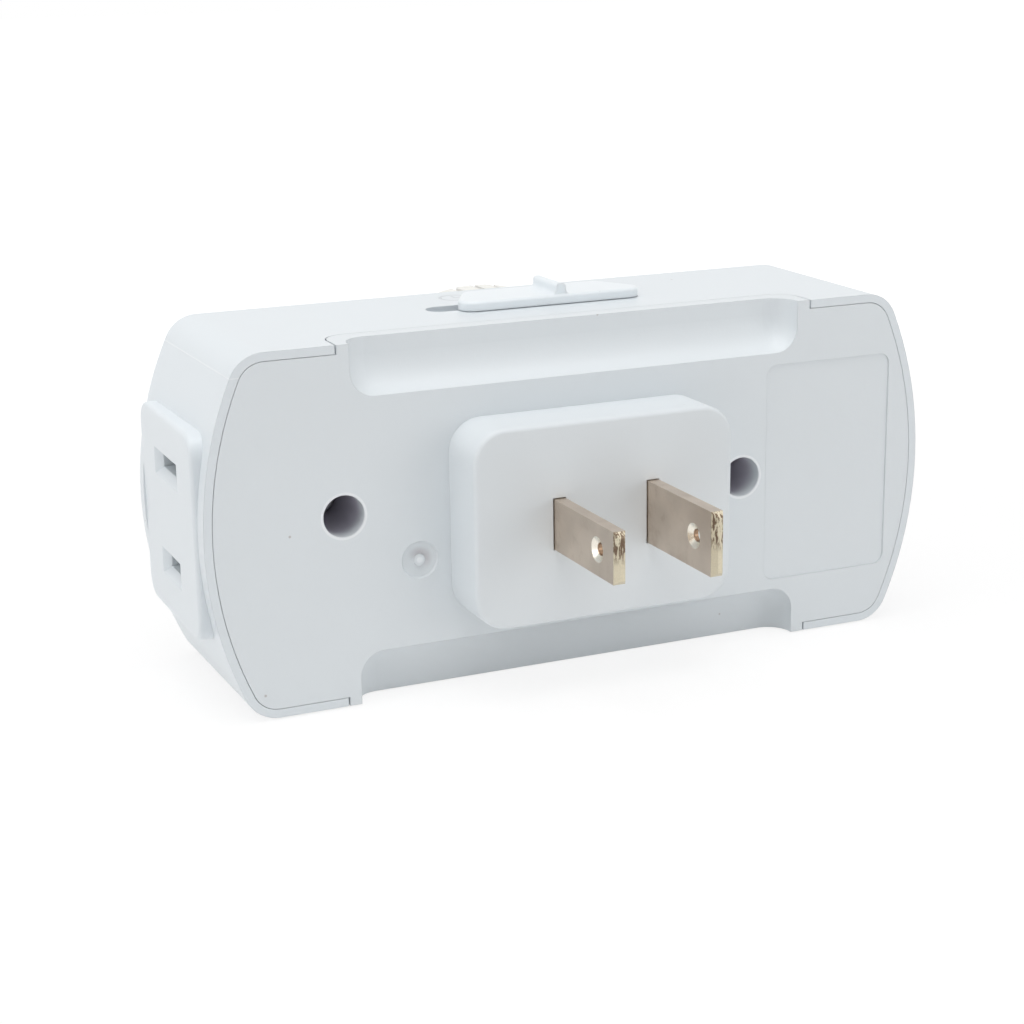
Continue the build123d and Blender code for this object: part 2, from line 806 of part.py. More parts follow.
# ---------------------------------------------------------------- switch
with BuildPart() as switch_leaf:
    with BuildSketch(level_at(switch_low)):
        with Locations((leaf_pivot_x, -leaf_pivot_depth)):
            Circle(leaf_roll_radius)
        with Locations((leaf_pivot_x, -leaf_pivot_depth - leaf_above_pivot / 2)):
            Rectangle(leaf_thickness, leaf_above_pivot)
    extrude(amount=lever_width)
    with Locations(Plane(
        origin=(body_from_plug_x + leaf_pivot_x + leaf_thickness / 2,
                -leaf_pivot_depth - rivet_from_pivot, body_from_plug_z + lever_z),
        x_dir=(0, 1, 0), z_dir=(1, 0, 0),
    )):
        Hole(rivet_stem_radius, depth=leaf_thickness * 2)
switch_leaf.part.label = "switch_leaf"


def rivet(x, direction, radius, height, stem):
    """A contact rivet: a low truncated cone and the stem that goes through its strip."""
    face = Plane(
        origin=(body_from_plug_x + x, -leaf_pivot_depth - rivet_from_pivot, body_from_plug_z + lever_z),
        x_dir=(0, direction, 0), z_dir=(direction, 0, 0),
    )
    with BuildPart() as made:
        with BuildSketch(face):
            Circle(radius)
        extrude(amount=height, taper=25)
        with BuildSketch(face):
            Circle(rivet_stem_radius - rivet_stem_clearance)
        extrude(amount=-stem)
    return made.part


leaf_contact_rivet = rivet(leaf_pivot_x + leaf_thickness / 2, 1, rivet_radius, rivet_height, leaf_thickness)
leaf_contact_rivet.label = "leaf_contact_rivet"
anvil_contact_rivet = rivet(anvil_x, -1, anvil_rivet_radius, anvil_rivet_height, jaw_thickness)
anvil_contact_rivet.label = "anvil_contact_rivet"

with BuildPart() as switch_anvil:
    with BuildSketch(at(strip_depth + strip_thickness)):
        with Locations((anvil_x + jaw_thickness / 2, lever_z)):
            Rectangle(jaw_thickness, lever_width)
        with Locations((anvil_x + anvil_foot_length / 2, lever_z)):
            Rectangle(anvil_foot_length, lever_width)
    extrude(amount=jaw_thickness)
    with BuildSketch(at(strip_depth + strip_thickness)):
        with Locations((anvil_x + jaw_thickness / 2, lever_z)):
            Rectangle(jaw_thickness, lever_width)
    extrude(amount=leaf_pivot_depth + leaf_above_pivot - strip_depth - strip_thickness)
    with Locations(Plane(
        origin=(body_from_plug_x + anvil_x, -leaf_pivot_depth - rivet_from_pivot,
                body_from_plug_z + lever_z),
        x_dir=(0, 1, 0), z_dir=(-1, 0, 0),
    )):
        Hole(rivet_stem_radius, depth=jaw_thickness * 2)
switch_anvil.part.label = "switch_anvil"

# ---------------------------------------------------------------- trip lever
finger_tip = well_floor + lever_finger_stand
with BuildPart() as trip_lever:
    with BuildSketch(level_at(switch_low)):
        with Locations((pivot_x, -lever_pivot_depth)):
            Circle(lever_hub_radius)
        with Locations(((pivot_x + lever_finger_x - lever_finger_wide / 2) / 2, -lever_pivot_depth)):
            Rectangle(pivot_x - lever_finger_x + lever_finger_wide / 2, lever_arm_thickness)
        with Locations((
            pivot_x + lever_leg_offset - lever_leg_thickness / 2,
            -lever_pivot_depth + lever_leg_length / 2,
        )):
            Rectangle(lever_leg_thickness, lever_leg_length)
    extrude(amount=lever_width)
    with BuildSketch(at(lever_pivot_depth, lever_finger_x, lever_z)):
        Rectangle(lever_finger_wide, lever_finger_tall)
    extrude(amount=finger_tip - lever_pivot_depth)
    fillet(
        trip_lever.faces().sort_by(Axis.Y)[0].edges().filter_by(Axis.Z),
        0.7,
    )
    with BuildSketch(level_at(switch_low)):
        with Locations((pivot_x, -lever_pivot_depth)):
            Circle(lever_pin_radius + running_clearance)
    extrude(amount=lever_width, mode=Mode.SUBTRACT)
trip_lever.part.label = "trip_lever"

with BuildPart() as trip_lever_pin:
    with BuildSketch(level_at(ear_spots[0] - ear_thickness / 2)):
        with Locations((pivot_x, -lever_pivot_depth)):
            Circle(lever_pin_radius)
    extrude(amount=ear_spots[1] - ear_spots[0] + ear_thickness)
trip_lever_pin.part.label = "trip_lever_pin"

# ---------------------------------------------------------------- override slider
slider_edge = slider_depth + slider_plate_wide / 2
plate_bottom = grown(body_height, draft_angle, slider_edge) + slider_plate_gap
plate_top = plate_bottom + slider_plate_thickness
carriage_top = cavity_half_height - carriage_gap
carriage_bottom = carriage_top - carriage_thickness
rest_x = slider_rest_x
rib_y = -slider_depth + detent_rib_shift
arm_y = rib_y + detent_rib_depth / 2 + carriage_arm_clearance + carriage_arm_width / 2
peg_spots = [(rest_x - peg_spread, -slider_depth), (rest_x + peg_spread, -slider_depth)]

# thumb ridge: a round-topped fin with flared feet, full height at the room side
with BuildPart() as thumb_ridge:
    with BuildSketch(at(slider_depth - ridge_span / 2, rest_x + ridge_x, plate_top)) as section:
        with Locations((0, ridge_height / 2)):
            Rectangle(ridge_wide, ridge_height)
        fillet(section.vertices().group_by(Axis.Y)[-1], ridge_round)
        with Locations((0, ridge_flare / 2)):
            Rectangle(ridge_wide + 2 * ridge_flare, ridge_flare)
        with Locations(
            (-ridge_wide / 2 - ridge_flare, ridge_flare),
            (ridge_wide / 2 + ridge_flare, ridge_flare),
        ):
            Circle(ridge_flare, mode=Mode.SUBTRACT)
    extrude(amount=ridge_span)
    with BuildSketch(side_at(rest_x + ridge_x)) as side_view:
        with Locations((-slider_depth, plate_top + ridge_height / 2)):
            Rectangle(ridge_span, ridge_height)
        top_corners = side_view.vertices().group_by(Axis.Y)[-1].sort_by(Axis.X)
        fillet(top_corners[0], ridge_round)
        fillet(top_corners[-1], ridge_near_round)
    extrude(amount=ridge_wide + ridge_flare, both=True, mode=Mode.INTERSECT)

with BuildPart() as override_slider:
    with BuildSketch(level_at(plate_bottom)) as plan:
        with BuildLine():
            Polyline(
                (rest_x - slider_plate_near, -slider_depth + slider_plate_wide / 2),
                (rest_x + slider_plate_near, -slider_depth + slider_plate_wide / 2),
                (rest_x + slider_plate_far, -slider_depth - slider_plate_wide / 2),
                (rest_x - slider_plate_far, -slider_depth - slider_plate_wide / 2),
                close=True,
            )
        make_face()
        fillet(plan.vertices(), slider_plate_corner)
    extrude(amount=slider_plate_thickness)
    chamfer(override_slider.faces().sort_by(Axis.Z)[-1].edges(), slider_plate_chamfer)
    add(thumb_ridge.part)
    with BuildSketch(level_at(plate_bottom)):
        with Locations((rest_x, -slider_depth)):
            RectangleRounded(2 * slider_stem_half, slider_slot_width - 2 * slider_stem_clearance, 0.7)
    extrude(amount=carriage_top - plate_bottom)
    with BuildSketch(level_at(carriage_top)):
        with Locations(*peg_spots):
            Circle(peg_radius)
    extrude(amount=-peg_length)
override_slider.part.label = "override_slider"

with BuildPart() as slider_carriage:
    with BuildSketch(level_at(carriage_bottom)) as plan:
        with Locations((rest_x, -slider_depth)):
            RectangleRounded(2 * carriage_half, carriage_wide, 1.0)
        with Locations((rest_x + (carriage_half + carriage_arm_x) / 2 - 1, arm_y)):
            Rectangle(carriage_arm_x - carriage_half + 2, carriage_arm_width)
    extrude(amount=carriage_thickness)
    with BuildSketch(level_at(carriage_leg_bottom)):
        with Locations((rest_x + carriage_arm_x - carriage_leg_width / 2, arm_y)):
            Rectangle(carriage_leg_width, carriage_arm_width)
    extrude(amount=carriage_top - carriage_leg_bottom)
    with BuildSketch(level_at(carriage_top)):
        with Locations(*peg_spots):
            Circle(peg_radius + rivet_stem_clearance)
    extrude(amount=-carriage_thickness, mode=Mode.SUBTRACT)
    with BuildSketch(level_at(carriage_bottom)):
        with Locations((0, -slider_depth), (-slider_travel, -slider_depth)):
            Rectangle(detent_notch_width, detent_width + 1)
    extrude(amount=detent_notch_depth, mode=Mode.SUBTRACT)
slider_carriage.part.label = "slider_carriage"

with BuildPart() as slider_detent_spring:
    with BuildSketch(at(slider_depth - detent_width / 2)):
        with BuildLine():
            Polyline(
                (-detent_half, rib_bottom - detent_thickness / 2),
                (-detent_hump_foot, rib_bottom - detent_thickness / 2),
                (-detent_hump_top, rib_bottom - detent_thickness / 2 + detent_hump),
                (detent_hump_top, rib_bottom - detent_thickness / 2 + detent_hump),
                (detent_hump_foot, rib_bottom - detent_thickness / 2),
                (detent_half, rib_bottom - detent_thickness / 2),
            )
        trace(line_width=detent_thickness)
    extrude(amount=detent_width)
slider_detent_spring.part.label = "slider_detent_spring"


# ---------------------------------------------------------------- gears
def bearing(start, distance, angle):
    """Point at a distance and an angle from another, in the plane of the dial."""
    return (
        start[0] + distance * math.cos(math.radians(angle)),
        start[1] + distance * math.sin(math.radians(angle)),
    )


def mesh_phase(phase_a, teeth_a, teeth_b, angle):
    """Turn of gear b that puts its gap on gear a's tooth, b lying at an angle from a."""
    pitch_a = 360 / teeth_a
    pitch_b = 360 / teeth_b
    part = ((angle - phase_a) / pitch_a) % 1.0
    return angle + 180 - pitch_b * (0.5 - part)


def tooth_form(teeth):
    """One involute tooth on the +X side, rooted inside the root circle."""
    r = gear_module * teeth / 2
    base = r * math.cos(math.radians(gear_pressure_angle))
    tip = r + gear_addendum * gear_module
    root = r - gear_dedendum * gear_module
    inv = math.tan(math.radians(gear_pressure_angle)) - math.radians(gear_pressure_angle)
    half = math.pi / (2 * teeth) - gear_backlash / (4 * r) + inv

    def flank(radius):
        turn = math.acos(min(1.0, base / radius))
        angle = half - (math.tan(turn) - turn)
        return (radius * math.cos(angle), radius * math.sin(angle))

    start = max(base, root)
    points = [flank(start), flank((start + tip) / 2), flank(tip)]
    foot = points[0]
    inner_r = root - 0.15
    foot_angle = math.atan2(foot[1], foot[0])
    inner = (inner_r * math.cos(foot_angle), inner_r * math.sin(foot_angle))
    with BuildSketch() as tooth:
        with BuildLine():
            Polyline(
                inner, *points,
                *[(x, -y) for x, y in reversed(points)],
                (inner[0], -inner[1]),
                close=True,
            )
        make_face()
    return tooth.sketch


def gear_outline(teeth, phase):
    """Root disc with a full ring of teeth."""
    with BuildSketch() as outline:
        Circle(gear_module * teeth / 2 - gear_dedendum * gear_module)
        with PolarLocations(0, teeth, start_angle=phase):
            add(tooth_form(teeth))
    return outline.sketch


pitch_dial = gear_module * dial_teeth / 2
pitch_wheel = gear_module * wheel_teeth / 2
pitch_pinion = gear_module * pinion_teeth / 2
gear_2_spot = bearing((0, 0), pitch_dial + pitch_pinion, gear_2_bearing)
gear_1_spot = bearing(gear_2_spot, pitch_wheel + pitch_pinion, gear_1_bearing)
motor_spot = bearing(gear_1_spot, pitch_wheel + pitch_pinion, motor_bearing)

phase_dial = 0.0
phase_2 = mesh_phase(phase_dial, dial_teeth, pinion_teeth, gear_2_bearing)
phase_2_wheel = phase_2
phase_1 = mesh_phase(phase_2_wheel, wheel_teeth, pinion_teeth, gear_1_bearing)
phase_1_wheel = phase_1
phase_motor = mesh_phase(phase_1_wheel, wheel_teeth, pinion_teeth, motor_bearing)

gear_back = gear_front - dial_gear_thickness
pinion_2_front = gear_front + 0.3
pinion_2_back = pinion_2_front - gear_2_pinion_length
wheel_2_back = pinion_2_back - wheel_thickness
pinion_1_front = pinion_2_back + 0.1
pinion_1_back = pinion_1_front - gear_1_pinion_length
wheel_1_back = pinion_1_back - wheel_thickness
motor_pinion_front = pinion_1_back + 0.2
motor_pinion_back = motor_pinion_front - motor_pinion_length


def compound_gear(spot, wheel_back, wheel_phase, pinion_back, pinion_length, pinion_phase):
    """A wheel and the pinion that stands on it, on one bore."""
    with BuildPart() as made:
        with BuildSketch(at(wheel_back, *spot)):
            add(gear_outline(wheel_teeth, wheel_phase))
        extrude(amount=wheel_thickness)
        with BuildSketch(at(pinion_back, *spot)):
            add(gear_outline(pinion_teeth, pinion_phase))
        extrude(amount=pinion_length)
        with BuildSketch(at(wheel_back, *spot)):
            Circle(gear_axle_radius + running_clearance)
        extrude(amount=wheel_thickness + pinion_length + 1, mode=Mode.SUBTRACT)
    return made.part


reduction_gear_2 = compound_gear(
    gear_2_spot, wheel_2_back, phase_2_wheel, pinion_2_back, gear_2_pinion_length, phase_2
)
reduction_gear_2.label = "reduction_gear_2"
reduction_gear_1 = compound_gear(
    gear_1_spot, wheel_1_back, phase_1_wheel, pinion_1_back, gear_1_pinion_length, phase_1
)
reduction_gear_1.label = "reduction_gear_1"

with BuildPart() as gear_axles:
    with BuildSketch(at(frame_rear + 0.2)):
        with Locations(gear_1_spot):
            Circle(gear_axle_radius)
    extrude(amount=pinion_1_front + 0.3 - frame_rear - 0.2)
    with BuildSketch(at(frame_rear + 0.2)):
        with Locations(gear_2_spot):
            Circle(gear_axle_radius)
    extrude(amount=well_inner - 0.1 - frame_rear - 0.2)
gear_axles.part.label = "gear_axles"

with BuildPart() as dial_gear:
    with BuildSketch(at(gear_back)):
        add(gear_outline(dial_teeth, phase_dial))
        Circle(dial_spigot_radius, mode=Mode.SUBTRACT)
        with PolarLocations(0.66 * pitch_dial, 6, start_angle=30):
            Circle(2.2, mode=Mode.SUBTRACT)
    extrude(amount=dial_gear_thickness)
dial_gear.part.label = "dial_gear"

with BuildPart() as clutch_spring:
    with BuildSketch(at(gear_front)):
        Circle(dial_hub_radius)
        Circle(dial_spigot_radius + 0.1, mode=Mode.SUBTRACT)
        with PolarLocations(dial_spigot_radius + 0.1, 3):
            Rectangle(0.9, 1.2, mode=Mode.SUBTRACT)
    extrude(amount=clutch_thickness)
clutch_spring.part.label = "clutch_spring"

# ---------------------------------------------------------------- motor
can_rear = rear + tab_depth + motor_clearance
can_front = frame_rear - motor_lid_thickness
motor_height = can_front - can_rear
coil_height = motor_height - motor_wall - coil_space
with BuildPart() as motor_can:
    with BuildSketch(at(can_rear, *motor_spot)):
        Circle(motor_radius)
    extrude(amount=motor_height)
    chamfer(motor_can.faces().sort_by(Axis.Y)[-1].edges(), can_chamfer)
    with BuildSketch(at(can_rear + motor_wall, *motor_spot)):
        Circle(motor_radius - motor_wall)
    extrude(amount=motor_height, mode=Mode.SUBTRACT)
    with BuildSketch(at(can_rear + motor_wall, *motor_spot)):
        Circle(motor_boss_radius)
    extrude(amount=motor_boss_length)
    with BuildSketch(at(can_rear + motor_wall, *motor_spot)):
        Circle(gear_axle_radius + running_clearance)
    extrude(amount=motor_boss_length, mode=Mode.SUBTRACT)
motor_can.part.label = "motor_can"

with BuildPart() as motor_lid:
    with BuildSketch(at(can_front, *motor_spot)):
        Circle(motor_radius)
        Circle(gear_axle_radius + running_clearance, mode=Mode.SUBTRACT)
    extrude(amount=motor_lid_thickness)
motor_lid.part.label = "motor_lid"

with BuildPart() as motor_coil:
    with BuildSketch(at(can_rear + motor_wall, *motor_spot)):
        Circle(coil_outer_radius)
        Circle(coil_inner_radius, mode=Mode.SUBTRACT)
    extrude(amount=coil_height)
motor_coil.part.label = "motor_coil"

with BuildPart() as motor_output_pinion:
    with BuildSketch(at(motor_pinion_back, *motor_spot)):
        add(gear_outline(pinion_teeth, phase_motor))
    extrude(amount=motor_pinion_length)
    with BuildSketch(at(can_rear + motor_wall + 0.2, *motor_spot)):
        Circle(gear_axle_radius)
    extrude(amount=motor_pinion_front + 0.2 - can_rear - motor_wall - 0.2)
motor_output_pinion.part.label = "motor_output_pinion"

# ---------------------------------------------------------------- mechanism frame
with BuildPart() as mechanism_frame:
    with BuildSketch(at(frame_rear)) as plate:
        with Locations(((frame_left + frame_right) / 2, (frame_bottom + frame_top) / 2)):
            RectangleRounded(frame_right - frame_left, frame_top - frame_bottom, frame_corner)
        for spot in frame_posts:
            inward = (
                min(max(spot[0], frame_left + 3), frame_right - 3),
                min(max(spot[1], frame_bottom + 3), frame_top - 3),
            )
            with BuildLine():
                Line(inward, spot)
            trace(line_width=2 * frame_ear_radius)
            with Locations(spot):
                Circle(frame_ear_radius)
        with Locations(*frame_posts):
            Circle(frame_screw_radius + frame_hole_clearance, mode=Mode.SUBTRACT)
        with Locations(gear_1_spot, gear_2_spot):
            Circle(gear_axle_radius, mode=Mode.SUBTRACT)
        with Locations(motor_spot):
            Circle(gear_axle_radius + 0.4, mode=Mode.SUBTRACT)
        Circle(dial_axle_radius, mode=Mode.SUBTRACT)
    extrude(amount=frame_thickness)
mechanism_frame.part.label = "mechanism_frame"

# ---------------------------------------------------------------- dial
with BuildPart() as dial_axle:
    with BuildSketch(at(frame_rear)):
        Circle(dial_axle_radius)
    extrude(amount=dial_front + dial_axle_stand_out - frame_rear)
    with BuildSketch(at(frame_front)):
        Circle(dial_axle_shoulder)
    extrude(amount=spigot_end - dial_end_play - frame_front)
dial_axle.part.label = "dial_axle"


def pin_profile(grow):
    """A switching pin's section at the top of the dial: block, neck and retaining head."""
    half_pitch = 180 / pin_count
    side = pin_fin / 2 + pin_clearance - grow
    outer = pin_outer_radius + (1.0 if grow > 0 else 0.0)
    rise = math.cos(math.radians(half_pitch))
    run = math.sin(math.radians(half_pitch))
    low = pin_block_radius - grow
    with BuildSketch() as section:
        with BuildLine():
            low_w = low * run - side
            top_w = outer * run - side
            Line((-low_w, low * rise), (-top_w, outer * rise))
            ThreePointArc((-top_w, outer * rise), (0, outer), (top_w, outer * rise))
            Line((top_w, outer * rise), (low_w, low * rise))
            Line((low_w, low * rise), (-low_w, low * rise))
        make_face()
        neck_low = pin_head_radius - 0.2
        with Locations((0, (neck_low + low + 0.1) / 2)):
            Rectangle(pin_neck_width + 2 * grow, low + 0.1 - neck_low)
        with Locations((0, (pin_inner_radius + pin_head_radius) / 2)):
            Rectangle(pin_head_width + 2 * grow, pin_head_radius - pin_inner_radius + 2 * grow)
    return section.sketch


with BuildPart() as program_dial:
    with BuildSketch(at(dial_back)):
        Circle(dial_radius)
        with PolarLocations(0, pin_count, start_angle=180 / pin_count):
            add(pin_profile(pin_clearance), mode=Mode.SUBTRACT)
    extrude(amount=dial_thickness)
    with BuildSketch(at(hub_end)):
        Circle(dial_hub_radius)
    extrude(amount=dial_hub_length)
    with BuildSketch(at(spigot_end)):
        Circle(dial_spigot_radius)
    extrude(amount=dial_spigot_length)
    # the clear raised ring that frames the printed face
    with BuildSketch(at(dial_front)):
        Circle(pin_inner_radius - pin_clearance - 0.15)
        Circle(dial_face_radius + 0.05, mode=Mode.SUBTRACT)
    extrude(amount=dial_face_thickness)
    with BuildSketch(at(spigot_end)):
        Circle(dial_axle_radius + running_clearance)
    extrude(amount=dial_front - spigot_end, mode=Mode.SUBTRACT)
program_dial.part.label = "program_dial"

with BuildPart() as dial_face:
    with BuildSketch(at(dial_front)):
        Circle(dial_face_radius)
        Circle(dial_face_hole_radius, mode=Mode.SUBTRACT)
    extrude(amount=dial_face_thickness)
dial_face.part.label = "dial_face"

cap_back = dial_front + cap_gap
with BuildPart() as dial_cap:
    with BuildSketch(at(cap_back)):
        Circle(cap_radius)
    extrude(amount=cap_height)
    chamfer(dial_cap.faces().sort_by(Axis.Y)[0].edges(), cap_chamfer)
    with BuildSketch(at(cap_back)):
        Circle(dial_axle_radius)
    extrude(amount=dial_front + dial_axle_stand_out - cap_back, mode=Mode.SUBTRACT)
dial_cap.part.label = "dial_cap"

# ---------------------------------------------------------------- pins
pins_per_group = pin_count // pin_groups
pin_parts = []
for group in range(pin_groups):
    first = 180 / pin_count + group * 360 / pin_groups
    with BuildPart() as pins:
        with BuildSketch(at(pin_rear)):
            with PolarLocations(
                0, pins_per_group, start_angle=first, angular_range=360 / pin_groups, endpoint=False
            ):
                add(pin_profile(0.0))
        extrude(amount=pin_height)
    pins.part.label = f"pins_{group * 24 // pin_groups:02d}h"
    pin_parts.append(pins.part)

# ---------------------------------------------------------------- one STEP file for each piece
pieces = [
    front_housing.part, rear_cover.part, cover_screws, blade_narrow, blade_wide,
    outlet_contact_neutral, outlet_contact_line, neutral_busbar.part, line_strip.part,
    load_strip.part, switch_leaf.part, leaf_contact_rivet, switch_anvil.part,
    anvil_contact_rivet, trip_lever.part, trip_lever_pin.part, override_slider.part,
    slider_carriage.part, slider_detent_spring.part, mechanism_frame.part, mechanism_screws,
    motor_can.part, motor_lid.part, motor_coil.part, motor_output_pinion.part,
    reduction_gear_1, reduction_gear_2, gear_axles.part, dial_axle.part, program_dial.part,
    dial_gear.part, clutch_spring.part, dial_face.part, dial_cap.part, *pin_parts,
]
for piece in pieces:
    export_step(piece, f"parts/{piece.label}.step")
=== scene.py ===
import math

import bmesh
import bpy
from bpy.props import FloatProperty, FloatVectorProperty, IntProperty, PointerProperty
from bpy.types import Operator, Panel, PropertyGroup
from mathutils import Matrix, Vector


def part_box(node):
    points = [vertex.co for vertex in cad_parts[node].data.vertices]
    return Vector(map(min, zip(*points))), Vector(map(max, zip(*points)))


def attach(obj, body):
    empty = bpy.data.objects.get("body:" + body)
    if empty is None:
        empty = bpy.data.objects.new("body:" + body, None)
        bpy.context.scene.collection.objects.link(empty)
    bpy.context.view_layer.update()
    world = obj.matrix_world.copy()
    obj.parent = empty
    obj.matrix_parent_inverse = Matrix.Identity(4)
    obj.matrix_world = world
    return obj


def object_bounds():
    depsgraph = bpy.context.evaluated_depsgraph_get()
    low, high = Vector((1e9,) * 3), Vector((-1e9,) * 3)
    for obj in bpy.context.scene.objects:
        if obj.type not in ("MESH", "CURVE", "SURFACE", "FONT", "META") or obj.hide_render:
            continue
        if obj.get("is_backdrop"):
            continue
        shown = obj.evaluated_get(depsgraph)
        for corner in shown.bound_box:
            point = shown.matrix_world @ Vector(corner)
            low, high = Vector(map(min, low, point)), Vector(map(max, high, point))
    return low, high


bl_info = {
    "name": "Plug-in timer switch",
    "version": (1, 0, 0),
    "blender": (4, 5, 0),
    "location": "View3D > Sidebar > Timer",
    "description": "Finishes, printed marks and studio stage for a plug-in timer switch",
    "category": "Object",
}

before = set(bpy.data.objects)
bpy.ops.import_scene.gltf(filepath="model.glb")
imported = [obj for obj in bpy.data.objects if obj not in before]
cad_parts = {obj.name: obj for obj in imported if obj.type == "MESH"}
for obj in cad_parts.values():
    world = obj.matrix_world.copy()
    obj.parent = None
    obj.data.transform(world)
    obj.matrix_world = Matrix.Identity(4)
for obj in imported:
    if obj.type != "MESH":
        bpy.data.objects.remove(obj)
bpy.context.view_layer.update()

# ------------------------------------------------------------------ places and sizes, in metres
# Y runs into the wall, the dial faces -Y and the outlet end is +X. A pair called FADE is full up
# to its first value and gone past its second; a pair called START is the other way round.
MM = 0.001
CENTRE = Vector((-1.0, 0.0, 0.4)) * MM
FRONT_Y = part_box("front_housing")[0].y
FACE_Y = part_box("dial_face")[0].y
REAR_Y = -8.0 * MM

# clock ring and its two hands on the housing's top, slider slot, parting line
TOP_START = (22.2 * MM, 22.6 * MM)
RING_X = CENTRE.x + 7.9 * MM
RING_Y = -31.2 * MM
RING_RADIUS = 1.95 * MM
RING_FADE = (0.12 * MM, 0.24 * MM)
HAND_FADE = (0.10 * MM, 0.20 * MM)
HAND_UP = 1.3 * MM
HAND_SIDE = 1.0 * MM
SLOT_Y = -24.2 * MM
SLOT_HALF_LENGTH = 15.2 * MM
SLOT_HALF_WIDTH = 2.2 * MM
SLOT_BOTTOM = 18.0 * MM
PARTING_Z = 20.15 * MM
PARTING_FADE = (0.03 * MM, 0.10 * MM)
OUTLET_END_X = 40.0 * MM

# moulding gate and screw wells on the rear cover
GATE_X = 21.6 * MM
GATE_Z = -4.7 * MM
GATE_DISH_FADE = (0.5 * MM, 2.5 * MM)
GATE_DISH_DEPTH = 0.5 * MM
# reach of the painted highlight on the gate's nub, and of the painted shadow on one side of it
GATE_NUB_HIGHLIGHT_FADE = (0.25 * MM, 0.5 * MM)
NUB_SHADOW_START = (0.62 * MM, 0.78 * MM)
NUB_SHADOW_FADE = (0.9 * MM, 1.9 * MM)
NUB_SHADOW_SIDE_START = (-0.9 * MM, 1.0 * MM)
WELLS = ((31.15 * MM, 2.07 * MM), (-23.5 * MM, 0.45 * MM))
# reaches and depths of the painted shade on the wells' walls and the painted highlights on their
# rims
WELL_REACH = 2.75 * MM
WELL_SHADE_START = (0.7 * MM, 3.4 * MM)
WELL_RIM_HIGHLIGHT_REACH = 2.95 * MM
WELL_RIM_HIGHLIGHT_DEPTH = 0.25 * MM

# blades
BLADE_ROOT_FADE = (0.0, 7.0 * MM)
BLADE_HOLE_Y = 11.9 * MM
DIMPLE_FADE = (1.5 * MM, 1.62 * MM)
BORE_FADE = (0.74 * MM, 0.86 * MM)
TIP_START = (15.95 * MM, 16.2 * MM)
SCORCH_START = (-1.2 * MM, 1.2 * MM)

# print on the dial's face; angles are in degrees clockwise as seen from the room
NIGHT_BAND_START = (9.6 * MM, 9.7 * MM)
NIGHT_BAND_FADE = (16.0 * MM, 16.1 * MM)
NIGHT_HALF_START = (-0.1 * MM, 0.1 * MM)
HOURS = 24
WORD_RADIUS = 7.8 * MM
WORD_SHARE = 0.85
LETTER_THICKNESS = 0.02 * MM
PRINT_BACK = FACE_Y + 0.01 * MM
PRINT_FRONT = FACE_Y - 0.04 * MM
TICK_RADIUS = 16.4 * MM
LONG_TICK = (1.2 * MM, 0.9)
SHORT_TICK = (0.7 * MM, 0.6)
ARROW_BAND = (5.95 * MM, 6.35 * MM)
ARROW_FROM = 200.0
ARROW_TO = 325.0
ARROW_POINT = 341.0
ARROW_HEAD = (5.35 * MM, 6.95 * MM)
ARROW_STEPS = 24

# time pointer on the housing
POINTER_ANGLE = 64.3
POINTER_HALF_ANGLE = 2.3
POINTER_TIP = 23.2 * MM
POINTER_BASE = 26.6 * MM
POINTER_BACK = FRONT_Y + 0.02 * MM
POINTER_FRONT = FRONT_Y - 0.2 * MM
POINTER_EDGE = 0.06 * MM

# stage: name, place and width of each lamp, with the level that drives it
LAMPS = (
    ("key_lamp", (0.10, 0.08, 0.75), 0.7, "key"),
    ("side_lamp", (0.75, -0.05, 0.25), 0.6, "side"),
    ("fill_lamp", (-0.60, 0.68, 0.12), 0.6, "fill"),
)
FLOOR_HALF_SIZE = 3.0
FLOOR_GAP = 0.02 * MM
FLOOR_WHITE_START = (0.10, 0.32)
CAMERA_PLACE = (0.104999, 0.213596, 0.067197)
CAMERA_FORWARD = (-0.3822, -0.8841, -0.2687)
CAMERA_LEVEL = (-0.9179, 0.3968, 0.0)
CAMERA_ROLL = -0.017
CAMERA_LENS = 70.80
CAMERA_SENSOR = 36.0
CAMERA_CLIP = (0.01, 20.0)

WHITE = (1.0, 1.0, 1.0)


# ------------------------------------------------------------------ shader maths
class Wire:
    """A number or colour on its way through a finish; sums on it add Math nodes."""

    def __init__(self, finish, socket):
        self.finish = finish
        self.socket = socket

    def _sum(self, operation, first, second):
        return self.finish.node("ShaderNodeMath", {"operation": operation}, {0: first, 1: second})

    def __add__(self, other):
        return self._sum("ADD", self, other)

    def __radd__(self, other):
        return self._sum("ADD", other, self)

    def __sub__(self, other):
        return self._sum("SUBTRACT", self, other)

    def __rsub__(self, other):
        return self._sum("SUBTRACT", other, self)

    def __mul__(self, other):
        return self._sum("MULTIPLY", self, other)

    def __rmul__(self, other):
        return self._sum("MULTIPLY", other, self)

    def __pow__(self, other):
        return self._sum("POWER", self, other)

    def __rpow__(self, other):
        return self._sum("POWER", other, self)

    def __abs__(self):
        return self._sum("ABSOLUTE", self, 0.0)

    def __gt__(self, other):
        return self._sum("GREATER_THAN", self, other)

    def __lt__(self, other):
        return self._sum("LESS_THAN", self, other)


